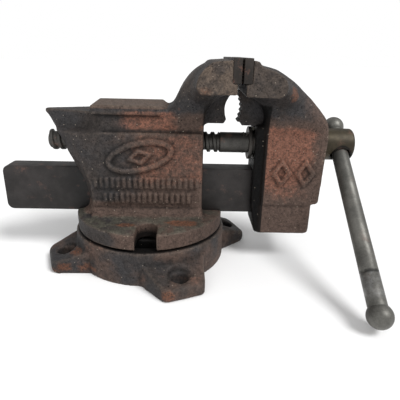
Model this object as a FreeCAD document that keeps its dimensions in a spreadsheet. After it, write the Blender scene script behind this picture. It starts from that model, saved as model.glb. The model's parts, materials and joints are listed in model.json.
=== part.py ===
import FreeCAD, Part
import math
import os
import Sketcher

# Swivel-base bench vise with 3 1/2 inch jaws, in millimetres.
# +X runs along the screw towards the handle, +Y is across the jaws, +Z is up.
# The origin is on the bench, at the centre of the swivel base.

Vector = FreeCAD.Vector
doc = FreeCAD.newDocument("bench_vise")
size = doc.addObject("Spreadsheet::Sheet", "size")

DIMENSIONS = {
    # swivel base
    "base_radius": 58.6,
    "base_height": 25.3,
    "base_land_radius": 29,
    "base_land_height": 26.7,
    "base_edge": 2,
    "lug_angle": 22,
    "lug_count": 4,
    "lug_reach": 80,
    "lug_root": 50,
    "lug_root_width": 50,
    "lug_tip_width": 28,
    "lug_root_height": 18.5,
    "lug_tip_height": 8.5,
    "lug_hole_radius": 6.25,
    "lug_hole_reach": 68,
    "spot_radius": 8.4,
    "spot_height": 10.5,
    "groove_reach": 42.5,
    "groove_neck": 6,
    "groove_half": 10.5,
    "groove_floor": 7,
    "groove_ceiling": 16,
    # round foot of the body
    "foot_radius": 56.6,
    "foot_bottom": 26.8,
    "foot_top": 38.8,
    "notch_half": 7.5,
    "notch_end": 35,
    "notch_shift": 1.6,
    # block of the body
    "body_front": 40.6,
    "body_half": 21,
    "neck_half": 19.5,
    "shoulder": 101,
    "panel_raise": 1,
    "panel_bottom": 45.7,
    "cove": 10,
    "horn_tip": -75.2,
    "horn_top": 114.5,
    "horn_tip_half": 2.6,
    "horn_root": -30,
    "valley_top": 117.8,
    "pad_top": 119.8,
    "pad_half": 22.3,
    "pad_left": -41,
    "pad_right": 11.5,
    "pad_skew": 3.3,
    "pad_thick": 6.5,
    # jaws
    "jaw_half": 44.45,
    "jaw_top": 150.9,
    "plate_top": 152.3,
    "plate_bottom": 137,
    "plate_thick": 6,
    "fixed_seat": 57,
    "rabbet": 3.3,
    "jaw_gap": 0.3,
    "head_under": 129.8,
    "head_web": 26,
    "plate_screw_reach": 25,
    "plate_screw_height": 142.2,
    "plate_screw_radius": 2.5,
    "plate_screw_head": 4.8,
    "plate_screw_length": 10,
    "throat_top": 108.5,
    "pipe_half": 7,
    "pipe_fixed_bottom": 106.4,
    "pipe_moving_bottom": 105.2,
    # moving jaw
    "slide_inner": 84.9,
    "slide_outer": 130.2,
    "slide_half": 20,
    "slide_step": 48.5,
    "slide_low_outer": 123.7,
    "slide_low_half": 19,
    "slide_bottom": 24,
    "slide_shoulder": 106,
    "rib_inner": 78.5,
    "rib_half": 14,
    "rib_heel": 82,
    "rib_knee": 45,
    "rib_top": 107,
    "spring_seat": 12.7,
    "boss_radius": 15,
    "boss_face": 130.9,
    # screw and handle
    "screw_height": 91.1,
    "screw_radius": 7.7,
    "screw_rear": -74.5,
    "thread_end": 52.8,
    "thread_pitch": 5.5,
    "thread_width": 2.8,
    "thread_depth": 1.6,
    "screw_bore": 7.78,
    "screw_clearance": 8.6,
    "head_radius": 12,
    "head_start": 131,
    "head_end": 153.8,
    "bar_hole": 144.3,
    "bar_tilt": 52.8,
    "bar_radius": 5.9,
    "bar_clearance": 0.05,
    "ball_radius": 7.9,
    "ball_upper": 17.7,
    "ball_lower": 131.2,
    "spigot_radius": 4,
    "nut_start": 8,
    "nut_length": 30,
    "nut_radius": 13,
    "washer_radius": 12.4,
    "washer_start": 74.6,
    "washer_thick": 2.4,
    "spring_wire": 1.4,
    "spring_turns": 2,
    "cotter_radius": 1.4,
    "cotter_place": 72.2,
    "cotter_reach": 11.5,
    # guide bar
    "guide_half": 8,
    "guide_bottom": 36.9,
    "guide_top": 71.9,
    "guide_left": -110.8,
    "guide_right": 118,
    "guide_round": 5,
    "guide_slack": 0.15,
    "guide_screw_first": 94,
    "guide_screw_gap": 16,
    "guide_screw_radius": 4,
    "guide_screw_head": 6.5,
    # swivel pin and clamp bolts
    "bolt_radius": 5,
    "bolt_head": 10,
    "recess_radius": 12.5,
    "recess_top": 13,
    "washer_outer": 10.5,
    "washer_height": 2,
    "nut_across": 17,
    "nut_height": 8,
}
for row, (alias, number) in enumerate(DIMENSIONS.items(), start=1):
    size.set(f"A{row}", alias.replace("_", " "))
    size.set(f"B{row}", str(number))
    size.setAlias(f"B{row}", alias)
doc.recompute()

PLANES = {"top": "XY_Plane", "front": "XZ_Plane", "side": "YZ_Plane"}
EPSILON = 1e-9


def value(expression):
    """Number that an expression over the sheet stands for."""
    return float(size.evalExpression(str(expression)))


def new_body(label):
    body = doc.addObject("PartDesign::Body", label)
    body.Label = label
    return body


def new_sketch(body, name, plane, offset="0"):
    """Sketch on one of the body's own origin planes, moved along the plane's normal."""
    sketch = body.newObject("Sketcher::SketchObject", f"{body.Name}_{name}")
    role = PLANES[plane]
    support = [item for item in body.Origin.OriginFeatures if item.Role == role][0]
    sketch.AttachmentSupport = [(support, "")]
    sketch.MapMode = "FlatFace"
    sketch.setExpression(".AttachmentOffset.Base.z", str(offset))
    return sketch


def bind(sketch, name, expression, *constraint):
    """Add a dimension to a sketch and bind it to the sheet."""
    index = sketch.addConstraint(Sketcher.Constraint(*constraint, value(expression)))
    sketch.renameConstraint(index, name)
    sketch.setExpression(f"Constraints.{name}", str(expression))


def add_outline(sketch, corners, tag="p"):
    """Closed outline through corners (x, y) or (x, y, round radius), all sheet expressions."""
    points = [Vector(value(c[0]), value(c[1]), 0) for c in corners]
    rounds = [c[2] if len(c) > 2 else None for c in corners]
    count = len(points)
    arrive = []
    leave = []
    for i, point in enumerate(points):
        back = (points[i - 1] - point).normalize()
        ahead = (points[(i + 1) % count] - point).normalize()
        reach = 0.0
        if rounds[i] is not None:
            reach = value(rounds[i]) / math.tan(back.getAngle(ahead) / 2)
        arrive.append(point + back * reach)
        leave.append(point + ahead * reach)
    lines = []
    for i in range(count):
        segment = Part.LineSegment(leave[i], arrive[(i + 1) % count])
        lines.append(sketch.addGeometry(segment, False))
    for i, (across, up, *_) in enumerate(corners):
        before = lines[i - 1]
        after = lines[i]
        if rounds[i] is None:
            sketch.addConstraint(Sketcher.Constraint("Coincident", before, 2, after, 1))
            bind(sketch, f"{tag}{i}x", across, "DistanceX", -1, 1, after, 1)
            bind(sketch, f"{tag}{i}y", up, "DistanceY", -1, 1, after, 1)
            continue
        radius = value(rounds[i])
        turn = (points[i] - points[i - 1]).cross(points[(i + 1) % count] - points[i]).z
        towards = (arrive[i] + leave[i]) * 0.5 - points[i]
        centre_reach = math.hypot(radius, (arrive[i] - points[i]).Length)
        centre = points[i] + towards.normalize() * centre_reach
        first, last = (arrive[i], leave[i]) if turn > 0 else (leave[i], arrive[i])
        start = math.atan2(first.y - centre.y, first.x - centre.x)
        end = math.atan2(last.y - centre.y, last.x - centre.x)
        circle = Part.Circle(centre, Vector(0, 0, 1), radius)
        arc = sketch.addGeometry(Part.ArcOfCircle(circle, start, end), False)
        arc_in, arc_out = (1, 2) if turn > 0 else (2, 1)
        sketch.addConstraint(Sketcher.Constraint("Tangent", before, 2, arc, arc_in))
        sketch.addConstraint(Sketcher.Constraint("Tangent", arc, arc_out, after, 1))
        corner = sketch.addGeometry(Part.Point(points[i]), True)
        sketch.addConstraint(Sketcher.Constraint("PointOnObject", corner, 1, before))
        sketch.addConstraint(Sketcher.Constraint("PointOnObject", corner, 1, after))
        bind(sketch, f"{tag}{i}x", across, "DistanceX", -1, 1, corner, 1)
        bind(sketch, f"{tag}{i}y", up, "DistanceY", -1, 1, corner, 1)
        bind(sketch, f"{tag}{i}r", rounds[i], "Radius", arc)


def add_box(sketch, left, right, low, high, tag="b", radius=None):
    corners = [(left, low), (right, low), (right, high), (left, high)]
    if radius is not None:
        corners = [(across, up, radius) for across, up in corners]
    add_outline(sketch, corners, tag)


def add_circle(sketch, across, up, radius, tag="c"):
    centre = Vector(value(across), value(up), 0)
    circle = sketch.addGeometry(Part.Circle(centre, Vector(0, 0, 1), value(radius)), False)
    bind(sketch, f"{tag}x", across, "DistanceX", -1, 1, circle, 3)
    bind(sketch, f"{tag}y", up, "DistanceY", -1, 1, circle, 3)
    bind(sketch, f"{tag}r", radius, "Radius", circle)


def finish_feature(body, feature, grows):
    """Recompute, and make sure that the feature added or removed material."""
    before = feature.BaseFeature.Shape.Volume if feature.BaseFeature else 0.0
    doc.recompute()
    change = feature.Shape.Volume - before
    if not feature.isValid() or (change <= EPSILON if grows else change >= -EPSILON):
        raise RuntimeError(f"{feature.Name} changed the volume by {change:.3f}")
    body.Tip = feature
    return feature


def extrude(body, sketch, length, symmetric=False, reverse=False, cut=False):
    """Pad, or Pocket where cut is true, by a length bound to the sheet."""
    kind = "Pocket" if cut else "Pad"
    feature = body.newObject(f"PartDesign::{kind}", f"{sketch.Name}_{kind.lower()}")
    feature.Profile = sketch
    feature.Length = value(length)
    feature.setExpression("Length", str(length))
    feature.SideType = "Symmetric" if symmetric else "One side"
    feature.Reversed = reverse
    return finish_feature(body, feature, not cut)


def revolve(body, sketch, axis, cut=False):
    """Full turn of a sketch about one of the sketch's own axes."""
    kind = "Groove" if cut else "Revolution"
    feature = body.newObject(f"PartDesign::{kind}", f"{sketch.Name}_{kind.lower()}")
    feature.Profile = sketch
    feature.ReferenceAxis = (sketch, [axis])
    feature.Angle = 360
    return finish_feature(body, feature, not cut)


def loft(body, sketches):
    """Straight-ruled loft through outlines that have the same number of corners."""
    feature = body.newObject("PartDesign::AdditiveLoft", f"{sketches[0].Name}_loft")
    feature.Profile = sketches[0]
    feature.Sections = sketches[1:]
    feature.Ruled = True
    return finish_feature(body, feature, True)


def polar(body, feature, count):
    """Repeat a feature about the vertical axis."""
    pattern = body.newObject("PartDesign::PolarPattern", f"{feature.Name}_polar")
    pattern.Originals = [feature]
    upright = [item for item in body.Origin.OriginFeatures if item.Role == "Z_Axis"][0]
    pattern.Axis = (upright, [""])
    pattern.Angle = 360
    pattern.setExpression("Occurrences", count)
    before = feature.Shape.Volume
    body.Tip = pattern
    doc.recompute()
    if abs(pattern.Shape.Volume - before) < EPSILON:
        raise RuntimeError(f"{pattern.Name} repeated nothing")
    return pattern


def lathe(label, corners, plane="front", axis="V_Axis"):
    """Turned piece: one outline about a sketch axis."""
    body = new_body(label)
    sketch = new_sketch(body, "profile", plane)
    add_outline(sketch, corners)
    revolve(body, sketch, axis)
    return body


# ---------------------------------------------------------------- swivel base

def make_swivel_base():
    """Round base: a ring with an undercut clamp groove and four bolting lugs."""
    body = new_body("swivel_base")
    body.setExpression("Placement.Rotation.Angle", "size.lug_angle")
    ring = new_sketch(body, "ring", "front")
    add_outline(ring, [
        ("size.bolt_radius + size.bar_clearance", "size.recess_top"),
        ("size.recess_radius", "size.recess_top"),
        ("size.recess_radius", "0"),
        ("size.base_radius", "0"),
        ("size.base_radius", "size.base_height", "size.base_edge"),
        ("size.base_land_radius", "size.base_height"),
        ("size.base_land_radius", "size.base_land_height"),
        ("size.bolt_radius + size.bar_clearance", "size.base_land_height"),
    ])
    revolve(body, ring, "V_Axis")
    root = new_sketch(body, "lug_root", "side", "size.lug_root")
    add_box(root, "-size.lug_root_width / 2", "size.lug_root_width / 2", "0", "size.lug_root_height")
    tip = new_sketch(body, "lug_tip", "side", "size.lug_reach")
    add_box(tip, "-size.lug_tip_width / 2", "size.lug_tip_width / 2", "0", "size.lug_tip_height")
    lug = loft(body, [root, tip])
    polar(body, lug, "size.lug_count")
    hole = new_sketch(body, "lug_hole", "top")
    add_circle(hole, "size.lug_hole_reach", "0", "size.lug_hole_radius")
    drilled = extrude(body, hole, "size.lug_root_height", reverse=True, cut=True)
    polar(body, drilled, "size.lug_count")
    spot = new_sketch(body, "spot_face", "top", "size.spot_height")
    add_circle(spot, "size.lug_hole_reach", "0", "size.spot_radius")
    faced = extrude(body, spot, "size.lug_root_height - size.spot_height", reverse=True, cut=True)
    polar(body, faced, "size.lug_count")
    groove = new_sketch(body, "clamp_groove", "front")
    inner = "size.groove_reach - size.groove_"
    outer = "size.groove_reach + size.groove_"
    add_outline(groove, [
        (inner + "half", "size.groove_floor"),
        (outer + "half", "size.groove_floor"),
        (outer + "half", "size.groove_ceiling"),
        (outer + "neck", "size.groove_ceiling"),
        (outer + "neck", "size.base_height + 1"),
        (inner + "neck", "size.base_height + 1"),
        (inner + "neck", "size.groove_ceiling"),
        (inner + "half", "size.groove_ceiling"),
    ])
    revolve(body, groove, "V_Axis", cut=True)
    return body


# ---------------------------------------------------------------- jaw heads

def blend_corners(neck, end, share):
    """Outline between the neck's and the end's, a share of the way out."""
    return [
        (f"({a[0]}) * {1 - share} + ({b[0]}) * {share}", f"({a[1]}) * {1 - share} + ({b[1]}) * {share}")
        for a, b in zip(neck, end)
    ]


def make_jaw_head(body, neck, end, neck_half):
    """Jaw head: straight across the neck, then flaring out to both jaw ends."""
    web_share = 0.62
    stations = [
        ("-size.jaw_half", 1.0),
        ("-size.head_web", web_share),
        (f"-{neck_half}", 0.0),
        (neck_half, 0.0),
        ("size.head_web", web_share),
        ("size.jaw_half", 1.0),
    ]
    sketches = []
    for index, (place, share) in enumerate(stations):
        sketch = new_sketch(body, f"head{index}", "front", f"-({place})")
        add_outline(sketch, blend_corners(neck, end, share))
        sketches.append(sketch)
    loft(body, sketches)


def cut_pipe_seat(body, left, right, bottom):
    """Seat for a pipe jaw, under the head and between its side webs."""
    seat = new_sketch(body, "pipe_seat", "front")
    add_box(seat, left, right, bottom, "size.head_under")
    extrude(body, seat, "2 * size.pipe_half", symmetric=True, cut=True)


def add_plate_screw_holes(body, face, direction):
    """Blind holes for the plate screws, straight into a plate's seat."""
    holes = new_sketch(body, "plate_holes", "side", face)
    for side in (-1, 1):
        add_circle(holes, f"{side} * size.plate_screw_reach", "size.plate_screw_height",
                   "size.plate_screw_radius", f"hole{side + 1}")
    extrude(body, holes, "size.plate_screw_length", reverse=direction < 0, cut=True)


# ---------------------------------------------------------------- body

def rear_outline(back, foot):
    """Side outline of the block; back moves its rear face, and foot the toe of its cove."""
    return [
        ("size.body_front", "size.foot_bottom + 4"),
        ("size.body_front", "size.shoulder"),
        (f"-68.9 + 2 * {back}", "size.shoulder"),
        (f"-59.4 + 1.25 * {back}", "83.2"),
        (f"-48.8 + {back}", "61.7"),
        (f"-45.8 + 0.7 * {back}", "48.3"),
        (f"-47.3 + 0.7 * {back}", "42.6"),
        (f"{foot} + 4", "size.foot_top + 0.6"),
        (foot, "size.foot_top - 0.4"),
        (foot, "size.foot_bottom + 4"),
    ]


def make_body_block(body):
    """Block under the shoulder: round foot, rounded rear, coves down to the foot."""
    foot = new_sketch(body, "foot", "top", "size.foot_bottom")
    add_circle(foot, "0", "0", "size.foot_radius")
    extrude(body, foot, "size.foot_top - size.foot_bottom")
    sections = []
    for index, (place, back, toe) in enumerate([
        ("-size.body_half", 7.6, -51), ("-8", 0, -55.2), ("8", 0, -55.2), ("size.body_half", 7.6, -51),
    ]):
        sketch = new_sketch(body, f"block{index}", "front", f"-({place})")
        add_outline(sketch, rear_outline(back, toe))
        sections.append(sketch)
    loft(body, sections)
    cove = new_sketch(body, "coves", "side", "-size.body_front")
    for side in (-1, 1):
        add_outline(cove, [
            (f"{side} * (size.body_half - 2)", "size.foot_top - 2"),
            (f"{side} * (size.body_half + size.cove + 1)", "size.foot_top - 2"),
            (f"{side} * (size.body_half + size.cove + 1)", "size.foot_top"),
            (f"{side} * size.body_half", "size.foot_top", "size.cove"),
            (f"{side} * size.body_half", "size.foot_top + size.cove + 3"),
            (f"{side} * (size.body_half - 2)", "size.foot_top + size.cove + 3"),
        ], f"cove{side + 1}")
    extrude(body, cove, "2 * size.body_front")
    panel = new_sketch(body, "panel", "front")
    add_outline(panel, [
        ("-40.5", "size.panel_bottom"),
        ("size.body_front - 1.2", "size.panel_bottom"),
        ("size.body_front - 1.2", "size.shoulder"),
        ("-47.5", "size.shoulder", "8"),
        ("-47.5", "82"),
        ("-41.5", "62"),
    ])
    extrude(body, panel, "2 * (size.body_half + size.panel_raise)", symmetric=True)


def make_horn_and_anvil(body):
    """Neck over the shoulder, the pointed horn, and the flat anvil pad."""
    neck = new_sketch(body, "neck", "front")
    add_outline(neck, [
        ("size.horn_root", "size.shoulder - 4"),
        ("size.body_front", "size.shoulder - 4"),
        ("size.body_front", "size.throat_top"),
        ("size.body_front - 4", "size.valley_top + 2"),
        ("size.pad_right + 7", "size.valley_top + 2"),
        ("size.pad_right + 5", "size.valley_top"),
        ("size.pad_right", "size.valley_top - 1"),
        ("size.pad_right - 3", "size.horn_top"),
        ("size.horn_root", "size.horn_top"),
    ])
    extrude(body, neck, "2 * size.neck_half", symmetric=True)
    sections = []
    for index, (place, half, under) in enumerate([
        ("size.horn_tip", "size.horn_tip_half", "size.horn_top - 2.6"),
        ("-59.4", "8.1", "83.2"),
        ("size.horn_root", "size.neck_half", "83.2"),
    ]):
        sketch = new_sketch(body, f"horn{index}", "side", place)
        add_box(sketch, f"-({half})", half, under, "size.horn_top")
        sections.append(sketch)
    loft(body, sections)
    pad = new_sketch(body, "pad", "top", "size.pad_top - size.pad_thick")
    add_outline(pad, [
        ("size.pad_left + size.pad_skew", "-size.pad_half"),
        ("size.pad_right + size.pad_skew / 2", "-size.pad_half"),
        ("size.pad_right", "size.pad_half"),
        ("size.pad_left", "size.pad_half"),
    ])
    extrude(body, pad, "size.pad_thick")


def make_vise_body():
    """Body casting with the fixed jaw head, bored for the screw, the nut and the guide bar."""
    body = new_body("vise_body")
    make_body_block(body)
    make_horn_and_anvil(body)
    seat = "size.fixed_seat"
    face = "size.fixed_seat + size.rabbet"
    neck = [
        ("17.2", "112"), ("17.8", "118.5"), ("23.1", "130.2"), ("27.9", "137.8"),
        ("33.6", "143.9"), ("40.2", "147.7"), ("46.9", "150.1"),
        (seat, "size.jaw_top"), (seat, "size.plate_bottom"),
        (face, "size.plate_bottom"), (face, "size.head_under"),
        ("53", "127.3"), ("46.5", "122.6"), ("42.2", "116"), ("size.body_front", "size.throat_top"),
    ]
    end = [
        ("38", "size.head_under + 0.3"), ("36", "131.6"), ("34.6", "134"), ("34.6", "137"),
        ("36.6", "142"), ("39.1", "145.2"), ("44.6", "149.9"),
        (seat, "size.jaw_top"), (seat, "size.plate_bottom"),
        (face, "size.plate_bottom"), (face, "size.head_under + 0.3"),
        ("56", "size.head_under + 0.3"), ("51", "size.head_under + 0.3"),
        ("47", "size.head_under + 0.3"), ("43", "size.head_under + 0.3"),
    ]
    make_jaw_head(body, neck, end, "size.neck_half")
    cut_pipe_seat(body, "size.body_front", f"{face} + 1", "size.pipe_fixed_bottom")
    notch = new_sketch(body, "notches", "top", "size.foot_bottom")
    for side, shift in ((-1, "size.notch_shift"), (1, "0")):
        add_outline(notch, [
            (f"{shift} - size.notch_half", f"{side} * (size.foot_radius + 2)"),
            (f"{shift} - size.notch_half", f"{side} * size.notch_end", "size.notch_half - 0.1"),
            (f"{shift} + size.notch_half", f"{side} * size.notch_end", "size.notch_half - 0.1"),
            (f"{shift} + size.notch_half", f"{side} * (size.foot_radius + 2)"),
        ], f"notch{side + 1}")
    extrude(body, notch, "size.foot_top - size.foot_bottom + 1", reverse=True, cut=True)
    channel = new_sketch(body, "guide_channel", "side", "-size.foot_radius - 2")
    add_box(channel, "-size.guide_half - size.guide_slack", "size.guide_half + size.guide_slack",
            "size.guide_bottom - size.guide_slack", "size.guide_top + size.guide_slack")
    extrude(body, channel, "2 * size.foot_radius + 4", reverse=True, cut=True)
    bore = new_sketch(body, "screw_bore", "side", "size.horn_tip")
    add_circle(bore, "0", "size.screw_height", "size.screw_clearance")
    extrude(body, bore, "size.body_front - size.horn_tip + 1", reverse=True, cut=True)
    seat_bore = new_sketch(body, "nut_bore", "side", "size.nut_start")
    add_circle(seat_bore, "0", "size.screw_height", "size.nut_radius")
    extrude(body, seat_bore, "size.body_front - size.nut_start + 1", reverse=True, cut=True)
    pin = new_sketch(body, "pivot_hole", "front")
    add_outline(pin, [
        ("0", "size.foot_bottom - 1"), ("size.bolt_radius", "size.foot_bottom - 1"),
        ("size.bolt_radius", "size.guide_bottom - 5.5"), ("size.bolt_head", "size.guide_bottom - 0.5"),
        ("size.bolt_head", "size.guide_bottom + 1"), ("0", "size.guide_bottom + 1"),
    ])
    revolve(body, pin, "V_Axis", cut=True)
    key = new_sketch(body, "nut_screw_hole", "top", "size.screw_height + size.nut_radius - 3")
    add_circle(key, "size.nut_start + size.nut_length / 2", "0", "size.plate_screw_radius")
    extrude(body, key, "size.valley_top - size.screw_height", reverse=True, cut=True)
    add_plate_screw_holes(body, seat, 1)
    return body


# ---------------------------------------------------------------- moving jaw

MOVING_SEAT = "size.fixed_seat + 2 * size.plate_thick + size.jaw_gap"


def add_inner_rib(body):
    """Thick rib on the inner face, round the screw and the guide bar, with the spring's seat in it."""
    rib = new_sketch(body, "rib", "top", "size.slide_bottom")
    add_outline(rib, [
        ("size.rib_inner", "-size.rib_half"), ("size.slide_inner + 1", "1 - size.slide_half"),
        ("size.slide_inner + 1", "size.slide_half - 1"), ("size.rib_inner", "size.rib_half"),
    ])
    extrude(body, rib, "size.rib_top - size.slide_bottom")
    heel = new_sketch(body, "rib_heel", "front")
    add_outline(heel, [
        ("size.rib_inner - 1", "size.slide_bottom - 1"), ("size.rib_heel", "size.slide_bottom - 1"),
        ("size.rib_inner", "size.rib_knee"), ("size.rib_inner - 1", "size.rib_knee"),
    ])
    extrude(body, heel, "2 * size.slide_half", symmetric=True, cut=True)
    seat = new_sketch(body, "spring_seat", "side", "size.fixed_seat")
    add_circle(seat, "0", "size.screw_height", "size.spring_seat")
    extrude(body, seat, "size.slide_inner - size.fixed_seat", reverse=True, cut=True)


def make_moving_jaw():
    """Sliding casting: block, screw boss and the moving jaw head."""
    body = new_body("moving_jaw")
    block = new_sketch(body, "block", "front")
    add_outline(block, [
        ("size.slide_inner", "size.slide_step"),
        ("size.slide_outer - 1.6", "size.slide_step", "3"),
        ("size.slide_outer", "size.slide_shoulder"),
        ("size.slide_inner", "size.slide_shoulder"),
    ])
    extrude(body, block, "2 * size.slide_half", symmetric=True)
    lower = new_sketch(body, "lower_block", "front")
    add_outline(lower, [
        ("size.slide_inner", "size.slide_bottom", "2"),
        ("size.slide_low_outer", "size.slide_bottom", "3"),
        ("size.slide_low_outer", "size.slide_step + 4"),
        ("size.slide_inner", "size.slide_step + 4"),
    ])
    extrude(body, lower, "2 * size.slide_low_half", symmetric=True)
    face = f"{MOVING_SEAT} - size.rabbet"
    neck = [
        (face, "size.head_under"), (face, "size.plate_bottom"), (MOVING_SEAT, "size.plate_bottom"),
        (MOVING_SEAT, "size.jaw_top"), ("74", "150.5"), ("75.6", "148"), ("88.5", "145.9"),
        ("101.7", "138"), ("117", "124.6"), ("128.6", "112"), ("size.slide_outer", "size.slide_shoulder - 2"),
        ("size.slide_inner", "size.slide_shoulder - 2"), ("size.slide_inner", "size.throat_top"),
        ("83.3", "116"), ("79", "122.6"), ("72.5", "127.3"),
    ]
    end = [
        (face, "129.1"), (face, "size.plate_bottom"), (MOVING_SEAT, "size.plate_bottom"),
        (MOVING_SEAT, "size.jaw_top"), ("73", "150.5"), ("74.9", "147.5"), ("83.3", "144.9"),
        ("87.5", "142.5"), ("90.3", "140"), ("91.5", "136.5"), ("91.2", "133.2"),
        ("90", "130.6"), ("87.5", "129"), ("82", "129"), ("76", "129"), ("70.5", "129"),
    ]
    make_jaw_head(body, neck, end, "size.slide_half - 0.4")
    add_inner_rib(body)
    cut_pipe_seat(body, f"{face} - 1", "size.slide_inner", "size.pipe_moving_bottom")
    boss = new_sketch(body, "boss", "side", "size.slide_outer - 4")
    add_circle(boss, "0", "size.screw_height", "size.boss_radius")
    extrude(body, boss, "size.boss_face - size.slide_outer + 4")
    bore = new_sketch(body, "screw_bore", "side", "size.fixed_seat")
    add_circle(bore, "0", "size.screw_height", "size.screw_bore")
    extrude(body, bore, "size.head_end - size.fixed_seat", reverse=True, cut=True)
    socket = new_sketch(body, "guide_socket", "side", "size.fixed_seat")
    add_box(socket, "-size.guide_half", "size.guide_half", "size.guide_bottom", "size.guide_top")
    extrude(body, socket, "size.guide_right - size.fixed_seat", reverse=True, cut=True)
    holes = new_sketch(body, "guide_screw_holes", "top")
    recesses = new_sketch(body, "guide_screw_recesses", "top")
    for index in (0, 1):
        place = f"size.guide_screw_first + {index} * size.guide_screw_gap"
        add_circle(holes, place, "0", "size.guide_screw_radius", f"hole{index}")
        add_circle(recesses, place, "0", "size.guide_screw_head", f"recess{index}")
    extrude(body, holes, "size.guide_bottom", reverse=True, cut=True)
    extrude(body, recesses, "size.slide_bottom + 5", reverse=True, cut=True)
    add_plate_screw_holes(body, MOVING_SEAT, -1)
    return body


# ---------------------------------------------------------------- guide bar

def make_slide_bar():
    """Flat guide bar, tapped from below for the two screws that hold it in the moving jaw."""
    body = new_body("slide_bar")
    profile = new_sketch(body, "profile", "front")
    add_outline(profile, [
        ("size.guide_left", "size.guide_bottom", "size.guide_round"),
        ("size.guide_right", "size.guide_bottom"),
        ("size.guide_right", "size.guide_top"),
        ("size.guide_left", "size.guide_top", "size.guide_round"),
    ])
    extrude(body, profile, "2 * size.guide_half", symmetric=True)
    holes = new_sketch(body, "screw_holes", "top", "size.guide_bottom")
    for index in (0, 1):
        add_circle(holes, f"size.guide_screw_first + {index} * size.guide_screw_gap", "0",
                   "size.guide_screw_radius", f"hole{index}")
    extrude(body, holes, "size.plate_screw_length", reverse=True, cut=True)
    return body


# ---------------------------------------------------------------- screw and handle

def make_lead_screw():
    """Screw with a square thread, a plain journal and a round cross-bored head."""
    body = new_body("lead_screw")
    profile = new_sketch(body, "profile", "front")
    add_outline(profile, [
        ("size.screw_rear", "0"),
        ("size.screw_rear", "size.screw_radius", "0.8"),
        ("size.head_start", "size.screw_radius"),
        ("size.head_start", "size.head_radius", "0.6"),
        ("size.head_end - 1.2", "size.head_radius", "1"),
        ("size.head_end", "0.6 * size.head_radius"),
        ("size.head_end", "0"),
    ])
    revolve(body, profile, "H_Axis")
    thread = new_sketch(body, "thread", "front")
    inner = "size.screw_radius - size.thread_depth"
    outer = "size.screw_radius + 0.6"
    start = "size.screw_rear + 1.5"
    add_outline(thread, [
        (start, outer), (f"{start} + 0.35", inner),
        (f"{start} + size.thread_width - 0.35", inner), (f"{start} + size.thread_width", outer),
    ])
    helix = body.newObject("PartDesign::SubtractiveHelix", "lead_screw_helix")
    helix.Profile = thread
    helix.ReferenceAxis = (thread, ["H_Axis"])
    helix.Mode = "pitch-height-angle"
    helix.setExpression("Pitch", "size.thread_pitch")
    helix.setExpression("Height", "size.thread_end - size.screw_rear - size.thread_width - 1.5")
    finish_feature(body, helix, False)
    cross = new_sketch(body, "cross_hole", "top", "-2 * size.head_radius")
    add_circle(cross, "size.bar_hole", "0", "size.bar_radius + size.bar_clearance")
    extrude(body, cross, "4 * size.head_radius", reverse=True, cut=True)
    pin_hole = new_sketch(body, "pin_hole", "front", "-size.head_radius")
    add_circle(pin_hole, "size.cotter_place", "0", "size.cotter_radius")
    extrude(body, pin_hole, "2 * size.head_radius", reverse=True, cut=True)
    hang_on_screw(body)
    return body


def hang_on_screw(body, along="0"):
    """Place a piece drawn about the screw's axis, turned so that its Z follows the tommy bar."""
    turned = FreeCAD.Rotation(Vector(-1, 0, 0), value("size.bar_tilt"))
    body.Placement = FreeCAD.Placement(Vector(value(along), 0, value("size.screw_height")), turned)
    body.setExpression("Placement.Base.x", along)
    body.setExpression("Placement.Base.z", "size.screw_height")
    body.setExpression("Placement.Rotation.Angle", "size.bar_tilt")


def make_tommy_bar():
    """Sliding handle bar with a turned spigot at each end for its knob."""
    shoulder = "sqrt(pow(size.ball_radius; 2) - pow(size.bar_radius; 2))"
    low = f"-size.ball_lower + {shoulder}"
    high = f"size.ball_upper - {shoulder}"
    body = lathe("tommy_bar", [
        ("0", "-size.ball_lower - 3"),
        ("size.spigot_radius", "-size.ball_lower - 3"),
        ("size.spigot_radius", low),
        ("size.bar_radius", low),
        ("size.bar_radius", high),
        ("size.spigot_radius", high),
        ("size.spigot_radius", "size.ball_upper + 3"),
        ("0", "size.ball_upper + 3"),
    ])
    hang_on_screw(body, "size.bar_hole")
    return body


def make_handle_ball(label, centre, inward):
    """Knob: a ball, faced flat and bored for the bar's spigot; inward is the bar's side of it."""
    body = new_body(label)
    facets = 12
    points = []
    flat = math.asin(value("size.bar_radius / size.ball_radius"))
    for step in range(facets + 1):
        angle = flat + (math.pi - flat) * step / facets
        points.append((round(math.sin(angle), 6), round(math.cos(angle) * inward, 6)))
    points[-1] = (0, -inward)
    outline = [(f"size.ball_radius * {across}", f"{centre} + size.ball_radius * {up}") for across, up in points]
    outline.append(("0", f"{centre} - {inward} * 3"))
    outline.append(("size.spigot_radius", f"{centre} - {inward} * 3"))
    outline.append(("size.spigot_radius", f"{centre} + size.ball_radius * {points[0][1]}"))
    sketch = new_sketch(body, "profile", "front")
    add_outline(sketch, outline)
    revolve(body, sketch, "V_Axis")
    hang_on_screw(body, "size.bar_hole")
    return body


def make_screw_nut():
    """Nut for the lead screw, with a dimple for its set screw."""
    body = new_body("screw_nut")
    profile = new_sketch(body, "profile", "front")
    add_box(profile, "size.nut_start", "size.nut_start + size.nut_length", "size.screw_bore", "size.nut_radius")
    revolve(body, profile, "H_Axis")
    dimple = new_sketch(body, "dimple", "top", "size.nut_radius - 3")
    add_circle(dimple, "size.nut_start + size.nut_length / 2", "0", "size.plate_screw_radius")
    extrude(body, dimple, "4", reverse=True, cut=True)
    body.setExpression("Placement.Base.z", "size.screw_height")
    return body


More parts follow.
